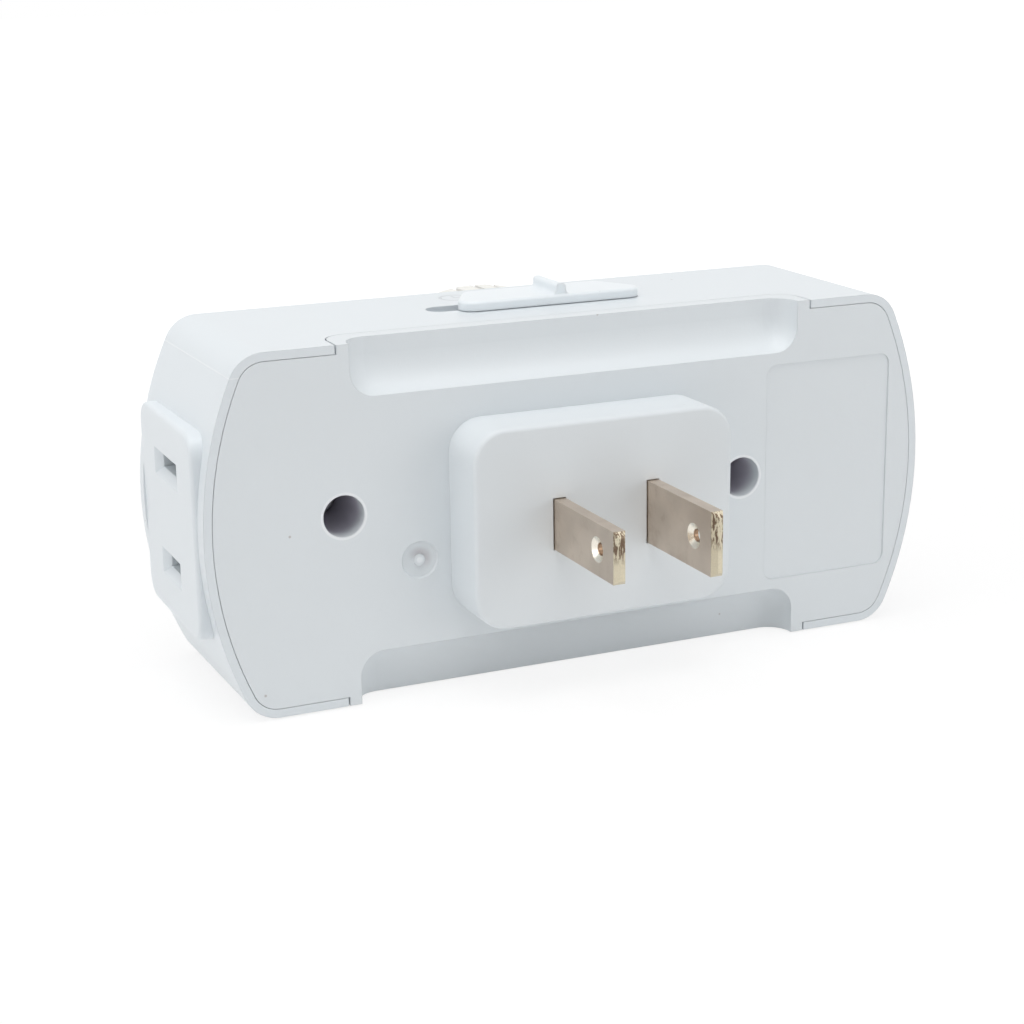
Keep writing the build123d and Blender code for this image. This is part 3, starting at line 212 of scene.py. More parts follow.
class Finish:
    """The nodes of one material, or of the world, under construction."""

    def __init__(self, owner, output="ShaderNodeOutputMaterial"):
        owner.use_nodes = True
        self.owner = owner
        self.output = output
        self.tree = owner.node_tree
        self.tree.nodes.clear()
        self._place = None

    @property
    def place(self):
        """Where a point lies on the piece, in metres."""
        if self._place is None:
            self._place = self.node("ShaderNodeTexCoord", out="Object")
        return self._place

    def node(self, kind, settings=None, inputs=None, out=0):
        """Any node: its settings are set first, then the values or links of its sockets."""
        made = self.tree.nodes.new(kind)
        for key, value in (settings or {}).items():
            setattr(made, key, value)
        for key, value in (inputs or {}).items():
            socket = made.inputs[key]
            if isinstance(value, Wire):
                self.tree.links.new(value.socket, socket)
            elif socket.type == "RGBA" and len(value) == 3:
                socket.default_value = (*value, 1.0)
            else:
                socket.default_value = value
        return Wire(self, made.outputs[out]) if len(made.outputs) else None

    def noise(self, scale, detail=3.0, rough=0.5, place=None, distortion=0.0):
        """Soft random grain from 0 to 1; scale is in waves per metre."""
        return self.node(
            "ShaderNodeTexNoise", {"noise_dimensions": "3D"},
            {"Vector": place or self.place, "Scale": scale, "Detail": detail,
             "Roughness": rough, "Distortion": distortion},
        )

    def cells(self, scale):
        """Distance to the nearest scattered point."""
        return self.node(
            "ShaderNodeTexVoronoi", {"voronoi_dimensions": "3D", "feature": "F1"},
            {"Vector": self.place, "Scale": scale, "Randomness": 1.0}, "Distance",
        )

    def stretched(self, x, y, z):
        """The place with each axis scaled, for grain that runs one way."""
        return self.node(
            "ShaderNodeVectorMath", {"operation": "MULTIPLY"}, {0: self.place, 1: (x, y, z)}
        )

    def axis(self, name):
        """One coordinate of the place, in metres."""
        return self.node("ShaderNodeSeparateXYZ", {}, {0: self.place}, name)

    def ramp(self, value, low, high):
        """0 below low, 1 above high, smooth between."""
        return self.node(
            "ShaderNodeMapRange", {"interpolation_type": "SMOOTHSTEP", "clamp": True},
            {0: value, 1: low, 2: high, 3: 0.0, 4: 1.0},
        )

    def within(self, value, near, far):
        """1 below near, 0 above far, smooth between."""
        return 1.0 - self.ramp(value, near, far)

    def mix(self, factor, first, second):
        """Colour from first to second by factor; 6, 7 and 2 are the node's colour sockets."""
        return self.node(
            "ShaderNodeMix", {"data_type": "RGBA", "blend_type": "MIX"},
            {0: factor, 6: first, 7: second}, 2,
        )

    def bump(self, height, distance, normal=None):
        """A bump whose height of 1 stands distance metres high."""
        inputs = {"Height": height, "Distance": distance, "Strength": 1.0}
        if normal is not None:
            inputs["Normal"] = normal
        return self.node("ShaderNodeBump", {}, inputs)

    def rounded(self, radius):
        """The surface direction with its edges eased by a small radius."""
        return self.node("ShaderNodeBevel", {"samples": 4}, {"Radius": radius})

    def seen_rays(self):
        """1 for rays that come from the camera, off gloss or through clear pieces, else 0."""
        flags = [self.node("ShaderNodeLightPath", out=kind)
                 for kind in ("Is Camera Ray", "Is Glossy Ray", "Is Transmission Ray")]
        return flags[0] + flags[1] + flags[2]

    def shade(self, base, roughness, normal, metallic=0.0, **constants):
        """The final surface; an underscore in a constant's name stands for a space."""
        inputs = {"Base Color": base, "Roughness": roughness, "Metallic": metallic,
                  "Normal": normal}
        for key, value in constants.items():
            inputs[key.replace("_", " ")] = value
        return self.finished(self.node("ShaderNodeBsdfPrincipled", {}, inputs))

    def finished(self, shader):
        """Puts a shader on the output and hands back the material or world."""
        self.node(self.output, {}, {"Surface": shader})
        return self.owner


def distance(across, above):
    """Distance from a spot, from the two offsets to it."""
    return (across * across + above * above) ** 0.5


def tinted(colour, factor):
    """A colour made lighter or darker."""
    return tuple(min(1.0, max(0.0, c * factor)) for c in colour[:3])


# ------------------------------------------------------------------ finishes
def moulded_white(name, colour, grain, gloss, marks=None, ease=0.16 * MM, depth=0.0):
    """Injection-moulded white plastic: flow clouds, spark-eroded grain, a few dust specks.

    grain is the height of the texture and ease the radius of the softened edges. depth is how
    much of the light travels under the skin.
    """
    f = Finish(bpy.data.materials.new(name))
    cloud = f.noise(38.0, detail=2.0)
    flow = f.noise(7.0, detail=2.0, place=f.stretched(1.0, 0.25, 2.2), distortion=0.4)
    fine = f.noise(5200.0, detail=2.0, rough=0.6)
    coarse = f.noise(1500.0, detail=2.0)
    base = f.mix(cloud * 0.6 + flow * 0.4, tinted(colour, 0.975), tinted(colour, 1.02))
    speck = f.within(f.cells(150.0), 0.014, 0.034)
    speck = speck * f.ramp(f.noise(240.0, detail=1.0), 0.40, 0.48)
    base = f.mix(speck * 0.6, base, (0.40, 0.35, 0.33))
    height = fine * 0.55 + coarse * 0.45
    roughness = gloss + (cloud - 0.5) * 0.08 + (coarse - 0.5) * 0.06
    surface = f.rounded(ease)
    if marks is not None:
        base, height, surface = marks(f, base, height, surface)
    normal = f.bump(height, grain, surface)
    return f.shade(base, roughness, normal, IOR=1.49, Subsurface_Weight=depth,
                   Subsurface_Radius=(1.0, 1.0, 1.0), Subsurface_Scale=0.7 * MM)


def housing_marks(f, base, height, surface):
    """The engraved clock ring with painted shade in its groove, painted light on the walls of the
    slider's slot, and the parting line.

    The last two numbers are the depth of the ring and the height of the line, in grains.
    """
    x = f.axis("X")
    y = f.axis("Y")
    z = f.axis("Z")
    top = f.ramp(z, *TOP_START)
    across = x - RING_X
    along = y - RING_Y
    radius = distance(across, along)
    ring = f.within(abs(radius - RING_RADIUS), *RING_FADE)
    hand_up = f.within(abs(across), *HAND_FADE) * (along < 0.0) * (radius < HAND_UP)
    hand_side = f.within(abs(along), *HAND_FADE) * (across < 0.0) * (radius < HAND_SIDE)
    groove = f.ramp((ring + hand_up + hand_side) * top, 0.0, 1.0)
    slot = (abs(y - SLOT_Y) < SLOT_HALF_WIDTH) * (abs(x - CENTRE.x) < SLOT_HALF_LENGTH)
    slot = slot * (z > SLOT_BOTTOM)
    line = f.within(abs(z - PARTING_Z), *PARTING_FADE) * (x > OUTLET_END_X)
    # painted light: the slot's walls below the top are lightened and blued as if lit
    base = f.mix(slot * (1.0 - top), base, (0.95, 0.975, 1.0))
    # painted shade: the engraved ring and hands are darkened in their groove
    base = f.mix(groove * 0.35, base, (0.42, 0.44, 0.47))
    base = f.mix(line * 0.45, base, (0.93, 0.95, 0.97))
    return base, height - groove * 9.0 + line * 1.2, surface


def cover_marks(f, base, height, surface):
    """The gate's soft dish with a painted highlight on its nub and a painted shadow beside it,
    and the wells' walls with painted shade and their rims with painted highlights.
    """
    x = f.axis("X")
    z = f.axis("Z")
    across = x - GATE_X
    above = z - GATE_Z
    radius = distance(across, above)
    dish = f.within(radius, *GATE_DISH_FADE)
    surface = f.bump(1.0 - dish, GATE_DISH_DEPTH, surface)
    shadow_mottle = f.noise(900.0, rough=0.6)
    nub_shadow = f.ramp(radius, *NUB_SHADOW_START) * f.within(radius, *NUB_SHADOW_FADE)
    side = f.ramp(above * 0.8 - across * 0.6, *NUB_SHADOW_SIDE_START)
    # painted shadow on one side of the gate's nub, mottled by noise
    base = f.mix(nub_shadow * side * (0.25 + shadow_mottle * 0.5), base, (0.44, 0.38, 0.40))
    # painted highlight on the gate's nub
    base = f.mix(f.within(radius, *GATE_NUB_HIGHLIGHT_FADE) * 0.6, base, (0.94, 0.96, 0.98))
    depth = REAR_Y - f.axis("Y")
    for well_x, well_z in WELLS:
        reach = distance(x - well_x, z - well_z)
        inside = (reach < WELL_REACH) * f.ramp(depth, *WELL_SHADE_START)
        # painted shade: the wells' walls darken with depth
        base = f.mix(inside * 0.6, base, (0.52, 0.46, 0.56))
        rim = (reach < WELL_RIM_HIGHLIGHT_REACH) * (depth < WELL_RIM_HIGHLIGHT_DEPTH)
        # painted highlight round the wells' rims
        base = f.mix(rim * 0.6, base, (0.93, 0.95, 0.97))
    return base, height, surface


def blade_metal(name, colour, brass):
    """Nickel plate over brass: handling stains, coined dimple with a painted highlight, cropped
    and scorched tip.
    """
    f = Finish(bpy.data.materials.new(name))
    y = f.axis("Y")
    z = f.axis("Z")
    lines = f.noise(900.0, rough=0.6, place=f.stretched(6.0, 0.35, 6.0))
    stain = f.noise(420.0, detail=4.0, rough=0.62, distortion=0.3)
    patch = f.noise(170.0, detail=2.0)
    grit = f.noise(6500.0, detail=2.0, rough=0.7)
    root = f.within(y, *BLADE_ROOT_FADE)
    base = f.mix(f.ramp(patch, 0.3, 0.7) * 0.8, tinted(colour, 1.06), tinted(colour, 0.86))
    base = f.mix(f.ramp(stain, 0.5, 0.72) * (0.22 + root * 0.2), base, (0.40, 0.30, 0.22))
    radius = distance(y - BLADE_HOLE_Y, z)
    dimple = f.within(radius, *DIMPLE_FADE)
    # painted highlight: the coined dimple's lighter colour
    base = f.mix(dimple * 0.75, base, (0.93, 0.90, 0.80))
    bore = f.within(radius, *BORE_FADE)
    base = f.mix(bore * 0.85, base, (0.24, 0.12, 0.05))
    tip = f.ramp(y + (grit - 0.5) * 0.2 * MM, *TIP_START)
    base = f.mix(tip * 0.9, base, f.mix(grit, tinted(brass, 0.8), tinted(brass, 1.2)))
    streak = f.noise(1500.0, detail=4.0, rough=0.7, place=f.stretched(2.6, 1.0, 0.5),
                     distortion=0.6)
    upper = f.ramp(z + (patch - 0.5) * 3.0 * MM, *SCORCH_START)
    scorch = tip * upper * f.ramp(streak, 0.45, 0.55)
    base = f.mix(scorch * 0.9, base, (0.12, 0.07, 0.045))
    roughness = 0.30 + lines * 0.12 + tip * 0.18 - dimple * 0.10
    grain = f.bump(lines * 0.7 + stain * 0.3, 0.012 * MM, f.rounded(0.1 * MM))
    return f.shade(base, roughness, f.bump(grit * tip, 0.05 * MM, grain), 1.0)


def bare_metal(name, colour, rough, grain_axis=(1.0, 1.0, 1.0), tarnish=(0.25, 0.20, 0.14)):
    """Stamped or turned metal with rolling lines and light tarnish."""
    f = Finish(bpy.data.materials.new(name))
    lines = f.noise(1300.0, rough=0.6, place=f.stretched(*grain_axis))
    cloud = f.noise(150.0, rough=0.6)
    base = f.mix(f.ramp(cloud, 0.45, 0.75) * 0.35, colour, tarnish)
    normal = f.bump(lines, 0.01 * MM, f.rounded(0.06 * MM))
    return f.shade(base, rough + lines * 0.15, normal, 1.0)


def acetal(name, colour, gloss=0.42):
    """Natural or dyed engineering plastic of gears, levers and the mechanism plate."""
    f = Finish(bpy.data.materials.new(name))
    cloud = f.noise(120.0)
    fine = f.noise(4200.0, detail=2.0)
    base = f.mix(cloud, tinted(colour, 0.93), tinted(colour, 1.05))
    normal = f.bump(fine, 0.008 * MM, f.rounded(0.1 * MM))
    return f.shade(base, gloss + (fine - 0.5) * 0.12, normal)


def winding(name, colour):
    """Enamelled copper wire wound round the axis, five turns to the millimetre."""
    f = Finish(bpy.data.materials.new(name))
    turns = f.node("ShaderNodeMath", {"operation": "SINE"}, {0: f.axis("Y") * 31400.0})
    cloud = f.noise(200.0)
    base = f.mix(cloud, tinted(colour, 0.8), tinted(colour, 1.15))
    normal = f.bump(turns * 0.5 + 0.5, 0.06 * MM)
    return f.shade(base, 0.32 + cloud * 0.1, normal, 0.85)


def printed_face(name, colour):
    """The matt printed plate in the middle of the dial, with a tinted night half."""
    f = Finish(bpy.data.materials.new(name))
    z = f.axis("Z") - CENTRE.z
    radius = distance(f.axis("X") - CENTRE.x, z)
    band = f.ramp(radius, *NIGHT_BAND_START) * f.within(radius, *NIGHT_BAND_FADE)
    night = band * f.ramp(z, *NIGHT_HALF_START)
    fine = f.noise(3800.0, detail=2.0, rough=0.6)
    base = f.mix(night * 0.85, colour, (0.36, 0.40, 0.46))
    return f.shade(base, 0.5 + (fine - 0.5) * 0.1, f.bump(fine, 0.006 * MM))


def ink(name, colour):
    """Screen-printed ink with a slightly uneven film."""
    f = Finish(bpy.data.materials.new(name))
    film = f.noise(2600.0, rough=0.6)
    base = f.mix(film, tinted(colour, 0.85), tinted(colour, 1.2))
    return f.shade(base, 0.45 + film * 0.15, f.bump(film, 0.004 * MM))


def stage_surface(name, paper_white, near_glow, seen_paper):
    """Paper that shows white to the camera and in reflections, and keeps a soft shadow."""
    f = Finish(bpy.data.materials.new(name))
    away = distance(f.axis("X") - CENTRE.x, f.axis("Y") - CENTRE.y)
    glow = f.mix(f.ramp(away, *FLOOR_WHITE_START), (near_glow,) * 3, WHITE)
    paper = f.node("ShaderNodeBsdfDiffuse", {}, {"Color": (paper_white,) * 3})
    shaded = f.node("ShaderNodeBsdfDiffuse", {}, {"Color": (seen_paper,) * 3})
    glowing = f.node("ShaderNodeEmission", {}, {"Color": glow, "Strength": 1.0})
    seen = f.node("ShaderNodeAddShader", {}, {0: shaded, 1: glowing})
    return f.finished(f.node("ShaderNodeMixShader", {}, {0: f.seen_rays(), 1: paper, 2: seen}))


def studio_world(name, sky):
    """Even light all round, and plain white wherever the world itself is seen."""
    f = Finish(bpy.data.worlds.new(name), "ShaderNodeOutputWorld")
    light = f.node("ShaderNodeBackground", {}, {"Color": WHITE, "Strength": sky})
    seen = f.node("ShaderNodeBackground", {}, {"Color": WHITE, "Strength": 1.0})
    return f.finished(f.node("ShaderNodeMixShader", {}, {0: f.seen_rays(), 1: light, 2: seen}))


# ------------------------------------------------------------------ pieces and meshes
def dress(material, *nodes):
    """Gives the finish to whole pieces of the timer."""
    for name in nodes:
        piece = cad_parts[name]
        piece.data.materials.clear()
        piece.data.materials.append(material)


def add_piece(name, body, material, mesh):
    """A new piece that rides on a body, from a finished mesh."""
    piece = bpy.data.objects.new(name, mesh)
    bpy.context.scene.collection.objects.link(piece)
    mesh.materials.append(material)
    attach(piece, body)
    return piece


def piece_from(name, body, material, build):
    """A new piece that rides on a body, from a function that fills a bmesh in metres."""
    mesh = bpy.data.meshes.new(name)
    bm = bmesh.new()
    build(bm)
    bmesh.ops.remove_doubles(bm, verts=bm.verts, dist=1e-7)
    bmesh.ops.recalc_face_normals(bm, faces=bm.faces)
    bm.to_mesh(mesh)
    bm.free()
    return add_piece(name, body, material, mesh)


def joined(name, parts):
    """One mesh from several, which are dropped as they go in."""
    mesh = bpy.data.meshes.new(name)
    bm = bmesh.new()
    for part in parts:
        bm.from_mesh(part)
        bpy.data.meshes.remove(part)
    bm.to_mesh(mesh)
    bm.free()
    return mesh


def slab(bm, outline, y_back, y_front):
    """A thin plate on the room side: outline is (x, z) points, extruded from back to front."""
    back = [bm.verts.new((x, y_back, z)) for x, z in outline]
    front = [bm.verts.new((x, y_front, z)) for x, z in outline]
    bm.faces.new(back)
    bm.faces.new(list(reversed(front)))
    count = len(outline)
    for i in range(count):
        j = (i + 1) % count
        bm.faces.new((back[i], front[i], front[j], back[j]))


def polar(radius, angle):
    """A point on the dial, angle in degrees clockwise from the top as seen from the room."""
    turn = math.radians(90.0 - angle)
    return (CENTRE.x + radius * math.cos(turn), CENTRE.z + radius * math.sin(turn))


def wedge(r0, r1, a0, a1, steps=1):
    """A sector of a ring as an outline."""
    outer = [polar(r1, a0 + (a1 - a0) * i / steps) for i in range(steps + 1)]
    inner = [polar(r0, a1 - (a1 - a0) * i / steps) for i in range(steps + 1)]
    return outer + inner


def lettering(text, size, radius, angle):
    """Mesh of a printed word or number, standing upright along its own radius on the dial."""
    curve = bpy.data.curves.new("print_" + text, "FONT")
    curve.body = text
    curve.size = size
    curve.align_x = "CENTER"
    curve.align_y = "CENTER"
    curve.extrude = LETTER_THICKNESS
    carrier = bpy.data.objects.new("print_" + text, curve)
    bpy.context.scene.collection.objects.link(carrier)
    bpy.context.view_layer.update()
    depsgraph = bpy.context.evaluated_depsgraph_get()
    mesh = bpy.data.meshes.new_from_object(carrier.evaluated_get(depsgraph))
    bpy.data.objects.remove(carrier)
    bpy.data.curves.remove(curve)
    x, z = polar(radius, angle)
    upright = Matrix.Rotation(math.radians(90), 4, "X")
    turn = Matrix.Rotation(math.radians(angle), 4, "Y")
    place = Matrix.Translation((x, FACE_Y - LETTER_THICKNESS, z))
    mesh.transform(place @ turn @ upright)
    return mesh


def hour_figures(marks):
    """Meshes of the hours, which run against the dial's turning, and of AM and PM."""
    for hour in range(HOURS):
        figure = str((hour - 1) % 12 + 1)
        yield lettering(figure, marks.hour_size, marks.hour_radius, -360.0 / HOURS * hour)
    for text, angle in (("AM", 270.0), ("PM", 90.0)):
        yield lettering(text, marks.hour_size * WORD_SHARE, WORD_RADIUS, angle)


def arrow(bm):
    """The turning arrow round the dial's middle."""
    slab(bm, wedge(*ARROW_BAND, ARROW_FROM, ARROW_TO, ARROW_STEPS), PRINT_BACK, PRINT_FRONT)
    head = [polar(radius, ARROW_TO) for radius in ARROW_HEAD]
    head.append(polar(sum(ARROW_HEAD) / 2, ARROW_POINT))
    slab(bm, head, PRINT_BACK, PRINT_FRONT)


def pointer(bm):
    """The time pointer, a small triangle that points at the dial's middle."""
    outline = [polar(POINTER_TIP, POINTER_ANGLE),
               polar(POINTER_BASE, POINTER_ANGLE - POINTER_HALF_ANGLE),
               polar(POINTER_BASE, POINTER_ANGLE + POINTER_HALF_ANGLE)]
    slab(bm, outline, POINTER_BACK, POINTER_FRONT)


# ------------------------------------------------------------------ what a user would change
class TimerColours(PropertyGroup):
    """Base colours of the timer's materials."""

    housing: FloatVectorProperty(
        name="Housing", description="White of the front housing and slider", subtype="COLOR",
        size=3, min=0.0, max=1.0, default=(0.760, 0.805, 0.835),
    )
    cover: FloatVectorProperty(
        name="Cover", description="White of the rear cover", subtype="COLOR",
        size=3, min=0.0, max=1.0, default=(0.760, 0.800, 0.825),
    )
    pins: FloatVectorProperty(
        name="Pins", description="Cream of the dial's pins", subtype="COLOR",
        size=3, min=0.0, max=1.0, default=(0.90, 0.89, 0.84),
    )
    nickel: FloatVectorProperty(
        name="Nickel", description="Plating of the blades", subtype="COLOR",
        size=3, min=0.0, max=1.0, default=(0.66, 0.565, 0.475),
    )
    brass: FloatVectorProperty(
        name="Brass", description="Strips, jaws and anvil inside", subtype="COLOR",
        size=3, min=0.0, max=1.0, default=(0.78, 0.62, 0.34),
    )


class TimerMarks(PropertyGroup):
    """Sizes of the printed marks on the room side."""

    hour_size: FloatProperty(
        name="Hour figures", description="Height of the hour figures", unit="LENGTH",
        default=0.0026,
    )
    hour_radius: FloatProperty(
        name="Hour ring", description="Radius of the ring of hour figures", unit="LENGTH",
        default=0.0128,
    )
    tick_count: IntProperty(
        name="Ticks", description="Printed ticks round the dial, one for each pin",
        default=48, min=12,
    )


class TimerStage(PropertyGroup):
    """Light levels of the studio."""

    key: FloatProperty(
        name="Key", description="Lamp above, in watts", default=3.9, min=0.0,
    )
    side: FloatProperty(
        name="Side", description="Lamp at the outlet end, in watts", default=1.15, min=0.0,
    )
    fill: FloatProperty(
        name="Fill", description="Lamp beside the camera, in watts", default=1.5, min=0.0,
    )
    sky: FloatProperty(
        name="Sky", description="Level of the even light all round", default=0.38, min=0.0,
    )


class TIMER_OT_housing(Operator):
    """Finish the front housing, with its engraved clock ring and parting line"""

    bl_idname = "timer.housing"
    bl_label = "Housing"

    def execute(self, context):
        colour = context.scene.timer_colours.housing
        plastic = moulded_white("housing_plastic", colour, grain=0.010 * MM, gloss=0.34,
                                marks=housing_marks)
        dress(plastic, "front_housing")
        return {"FINISHED"}


class TIMER_OT_cover(Operator):
    """Finish the rear cover in its slightly coarser white"""

    bl_idname = "timer.cover"
    bl_label = "Rear cover"

    def execute(self, context):
        colour = context.scene.timer_colours.cover
        plastic = moulded_white("cover_plastic", colour, grain=0.016 * MM, gloss=0.46,
                                marks=cover_marks)
        dress(plastic, "rear_cover")
        return {"FINISHED"}


class TIMER_OT_blades(Operator):
    """Finish the two plated blades"""

    bl_idname = "timer.blades"
    bl_label = "Blades"

    def execute(self, context):
        nickel = context.scene.timer_colours.nickel
        plating = blade_metal("blade_plating", nickel, brass=(0.60, 0.55, 0.42))
        dress(plating, "blade_narrow", "blade_wide")
        return {"FINISHED"}


class TIMER_OT_current_path(Operator):
    """Finish the strips, jaws, leaf and contacts that carry the current"""

    bl_idname = "timer.current_path"
    bl_label = "Current path"

    def execute(self, context):
        brass = context.scene.timer_colours.brass
        strip = bare_metal("strip_brass", brass, 0.24, (0.4, 1.0, 3.0))
        dress(strip, "outlet_contact_neutral", "outlet_contact_line", "neutral_busbar",
              "line_strip", "load_strip", "switch_anvil")
        leaf = bare_metal("leaf_bronze", (0.72, 0.48, 0.30), 0.26, (3.0, 0.4, 3.0))
        dress(leaf, "switch_leaf")
        silver = bare_metal("contact_silver", (0.80, 0.80, 0.78), 0.22)
        dress(silver, "leaf_contact_rivet", "anvil_contact_rivet")
        return {"FINISHED"}


class TIMER_OT_fasteners(Operator):
    """Finish screws, pins, axles and springs"""

    bl_idname = "timer.fasteners"
    bl_label = "Fasteners and springs"

    def execute(self, context):
        zinc = bare_metal("zinc_steel", (0.62, 0.63, 0.64), 0.28, tarnish=(0.35, 0.34, 0.32))
        dress(zinc, "cover_screws", "mechanism_screws", "trip_lever_pin", "gear_axles",
              "dial_axle")
        spring = bare_metal("spring_steel", (0.50, 0.51, 0.54), 0.25, (0.5, 2.0, 2.0),
                            tarnish=(0.20, 0.20, 0.24))
        dress(spring, "slider_detent_spring", "clutch_spring")
        return {"FINISHED"}


class TIMER_OT_slider(Operator):
    """Finish the override slider, its carriage and the trip lever"""

    bl_idname = "timer.slider"
    bl_label = "Override slider"

    def execute(self, context):
        colour = tinted(context.scene.timer_colours.housing, 1.10)
        slider = moulded_white("slider_plastic", colour, grain=0.005 * MM, gloss=0.30,
                               ease=0.4 * MM, depth=0.5)
        dress(slider, "override_slider")
        # painted light: the carriage's white is lightened and blued for the light that falls into
        # the slider's slot
        carriage = moulded_white("carriage_plastic", (0.88, 0.92, 0.96), grain=0.005 * MM,
                                 gloss=0.40)
        dress(carriage, "slider_carriage")
        dress(acetal("lever_acetal", (0.80, 0.79, 0.73)), "trip_lever")
        return {"FINISHED"}


class TIMER_OT_mechanism(Operator):
    """Finish the mechanism plate, motor and gears"""

    bl_idname = "timer.mechanism"
    bl_label = "Mechanism"

    def execute(self, context):
        dress(acetal("plate_plastic", (0.16, 0.165, 0.175), 0.5), "mechanism_frame")
        dress(acetal("gear_acetal", (0.80, 0.78, 0.70), 0.38),
              "motor_output_pinion", "reduction_gear_1", "reduction_gear_2", "dial_gear")
        can = bare_metal("motor_can_steel", (0.64, 0.65, 0.66), 0.30, (2.0, 0.5, 2.0),
                         tarnish=(0.42, 0.42, 0.42))
        dress(can, "motor_can", "motor_lid")
        dress(winding("motor_winding", (0.62, 0.28, 0.14)), "motor_coil")
        return {"FINISHED"}


class TIMER_OT_dial(Operator):
    """Finish the dial and print its hours, ticks and turning arrow"""

    bl_idname = "timer.dial"
    bl_label = "Dial"

    def execute(self, context):
        marks = context.scene.timer_marks
        dial = moulded_white("dial_plastic", (0.88, 0.89, 0.87), grain=0.006 * MM, gloss=0.36,
                             depth=0.5)
        dress(dial, "program_dial", "dial_cap")
        dress(printed_face("dial_face_print", (0.86, 0.86, 0.83)), "dial_face")

        def ticks(bm):
            for i in range(marks.tick_count):
                angle = i * 360.0 / marks.tick_count
                length, width = LONG_TICK if i % 2 == 0 else SHORT_TICK
                mark = wedge(TICK_RADIUS - length, TICK_RADIUS, angle - width / 2,
                             angle + width / 2)
                slab(bm, mark, PRINT_BACK, PRINT_FRONT)

        dark = ink("dial_ink", (0.05, 0.06, 0.08))
        hours = joined("dial_hours", hour_figures(marks))
        add_piece("dial_hours", "dial", dark, hours)
        piece_from("dial_ticks", "dial", dark, ticks)
        piece_from("dial_arrow", "dial", dark, arrow)
        return {"FINISHED"}


class TIMER_OT_pointer(Operator):
    """Mould the time pointer on the housing beside the dial"""

    bl_idname = "timer.pointer"
    bl_label = "Time pointer"

    def execute(self, context):
        dark = ink("pointer_ink", (0.06, 0.065, 0.08))
        made = piece_from("time_pointer", "housing", dark, pointer)
        soften = made.modifiers.new("soft_edges", "BEVEL")
        soften.width = POINTER_EDGE
        soften.segments = 2
        return {"FINISHED"}


class TIMER_OT_pins(Operator):
    """Finish the forty-eight pins"""

    bl_idname = "timer.pins"
    bl_label = "Pins"

    def execute(self, context):
        colour = context.scene.timer_colours.pins
        pins = moulded_white("pin_plastic", colour, grain=0.005 * MM, gloss=0.36,
                             ease=0.3 * MM, depth=0.8)
        dress(pins, *[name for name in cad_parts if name.startswith("pins_")])
        return {"FINISHED"}


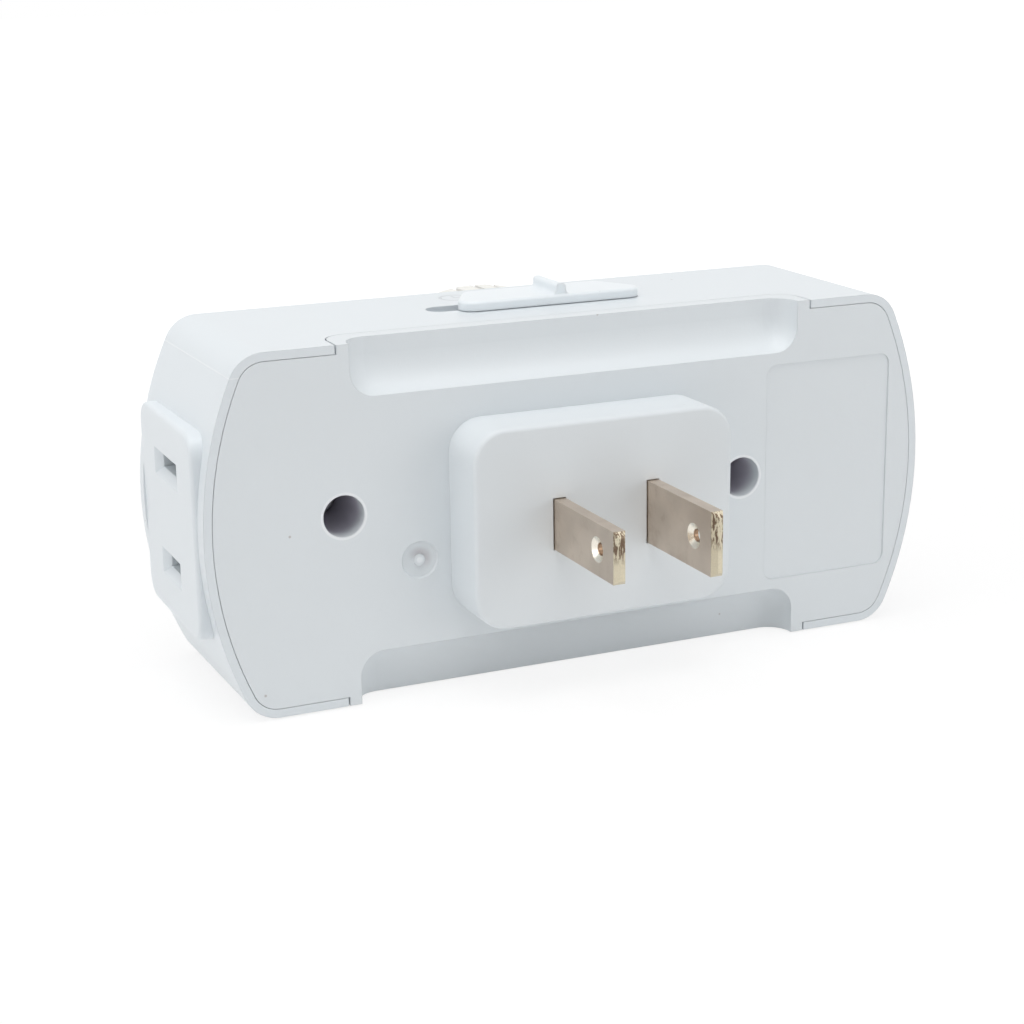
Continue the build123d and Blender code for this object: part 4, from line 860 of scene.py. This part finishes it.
class TIMER_OT_stage(Operator):
    """Set the floor, the lamps, the world and the camera"""

    bl_idname = "timer.stage"
    bl_label = "Stage"

    def execute(self, context):
        scene = context.scene
        levels = scene.timer_stage
        low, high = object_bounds()
        self.add_floor(scene, low.z - FLOOR_GAP)
        for name, place, size, level in LAMPS:
            self.add_lamp(scene, name, Vector(place), (low + high) / 2, size,
                          getattr(levels, level))
        scene.world = studio_world("studio", levels.sky)
        scene.view_settings.view_transform = "Standard"
        self.add_camera(scene)
        return {"FINISHED"}

    def add_floor(self, scene, level):
        mesh = bpy.data.meshes.new("stage_floor")
        bm = bmesh.new()
        bm.faces.new([bm.verts.new((x * FLOOR_HALF_SIZE, y * FLOOR_HALF_SIZE, level))
                      for x, y in ((-1, -1), (1, -1), (1, 1), (-1, 1))])
        bm.to_mesh(mesh)
        bm.free()
        floor = bpy.data.objects.new("stage_floor", mesh)
        scene.collection.objects.link(floor)
        paper = stage_surface("stage_paper", paper_white=0.95, near_glow=0.82, seen_paper=0.20)
        mesh.materials.append(paper)
        floor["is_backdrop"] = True

    def add_lamp(self, scene, name, place, target, size, energy):
        light = bpy.data.lights.new(name, "AREA")
        light.shape = "SQUARE"
        light.size = size
        light.energy = energy
        made = bpy.data.objects.new(name, light)
        made.location = place
        made.rotation_mode = "QUATERNION"
        made.rotation_quaternion = (place - target).to_track_quat("Z", "Y")
        scene.collection.objects.link(made)

    def add_camera(self, scene):
        forward = Vector(CAMERA_FORWARD).normalized()
        level = Vector(CAMERA_LEVEL).normalized()
        upright = level.cross(forward).normalized()
        sine, cosine = math.sin(CAMERA_ROLL), math.cos(CAMERA_ROLL)
        right = (cosine * level + sine * upright).normalized()
        up = (-sine * level + cosine * upright).normalized()
        data = bpy.data.cameras.new("camera")
        data.lens = CAMERA_LENS
        data.sensor_width = CAMERA_SENSOR
        data.clip_start, data.clip_end = CAMERA_CLIP
        camera = bpy.data.objects.new("camera", data)
        scene.collection.objects.link(camera)
        turned = Matrix((right, up, -forward)).transposed().to_4x4()
        camera.matrix_world = Matrix.Translation(CAMERA_PLACE) @ turned
        scene.camera = camera


STEPS = (
    "housing", "cover", "blades", "current_path", "fasteners", "slider",
    "mechanism", "dial", "pointer", "pins", "stage",
)


class TIMER_PT_panel(Panel):
    """Lists the timer's steps and what can be changed"""

    bl_label = "Timer switch"
    bl_idname = "TIMER_PT_panel"
    bl_space_type = "VIEW_3D"
    bl_region_type = "UI"
    bl_category = "Timer"

    def draw(self, context):
        column = self.layout.column(align=True)
        for step in STEPS:
            column.operator("timer." + step)
        for group in ("timer_colours", "timer_marks", "timer_stage"):
            box = self.layout.box()
            settings = getattr(context.scene, group)
            for name in settings.__annotations__:
                box.prop(settings, name)


CLASSES = (
    TimerColours, TimerMarks, TimerStage, TIMER_OT_housing, TIMER_OT_cover, TIMER_OT_blades,
    TIMER_OT_current_path, TIMER_OT_fasteners, TIMER_OT_slider, TIMER_OT_mechanism,
    TIMER_OT_dial, TIMER_OT_pointer, TIMER_OT_pins, TIMER_OT_stage, TIMER_PT_panel,
)


def register():
    for item in CLASSES:
        bpy.utils.register_class(item)
    bpy.types.Scene.timer_colours = PointerProperty(type=TimerColours)
    bpy.types.Scene.timer_marks = PointerProperty(type=TimerMarks)
    bpy.types.Scene.timer_stage = PointerProperty(type=TimerStage)


def unregister():
    del bpy.types.Scene.timer_stage
    del bpy.types.Scene.timer_marks
    del bpy.types.Scene.timer_colours
    for item in reversed(CLASSES):
        bpy.utils.unregister_class(item)


def main():
    register()
    for step in STEPS:
        getattr(bpy.ops.timer, step)()


if __name__ == "__main__":
    main()
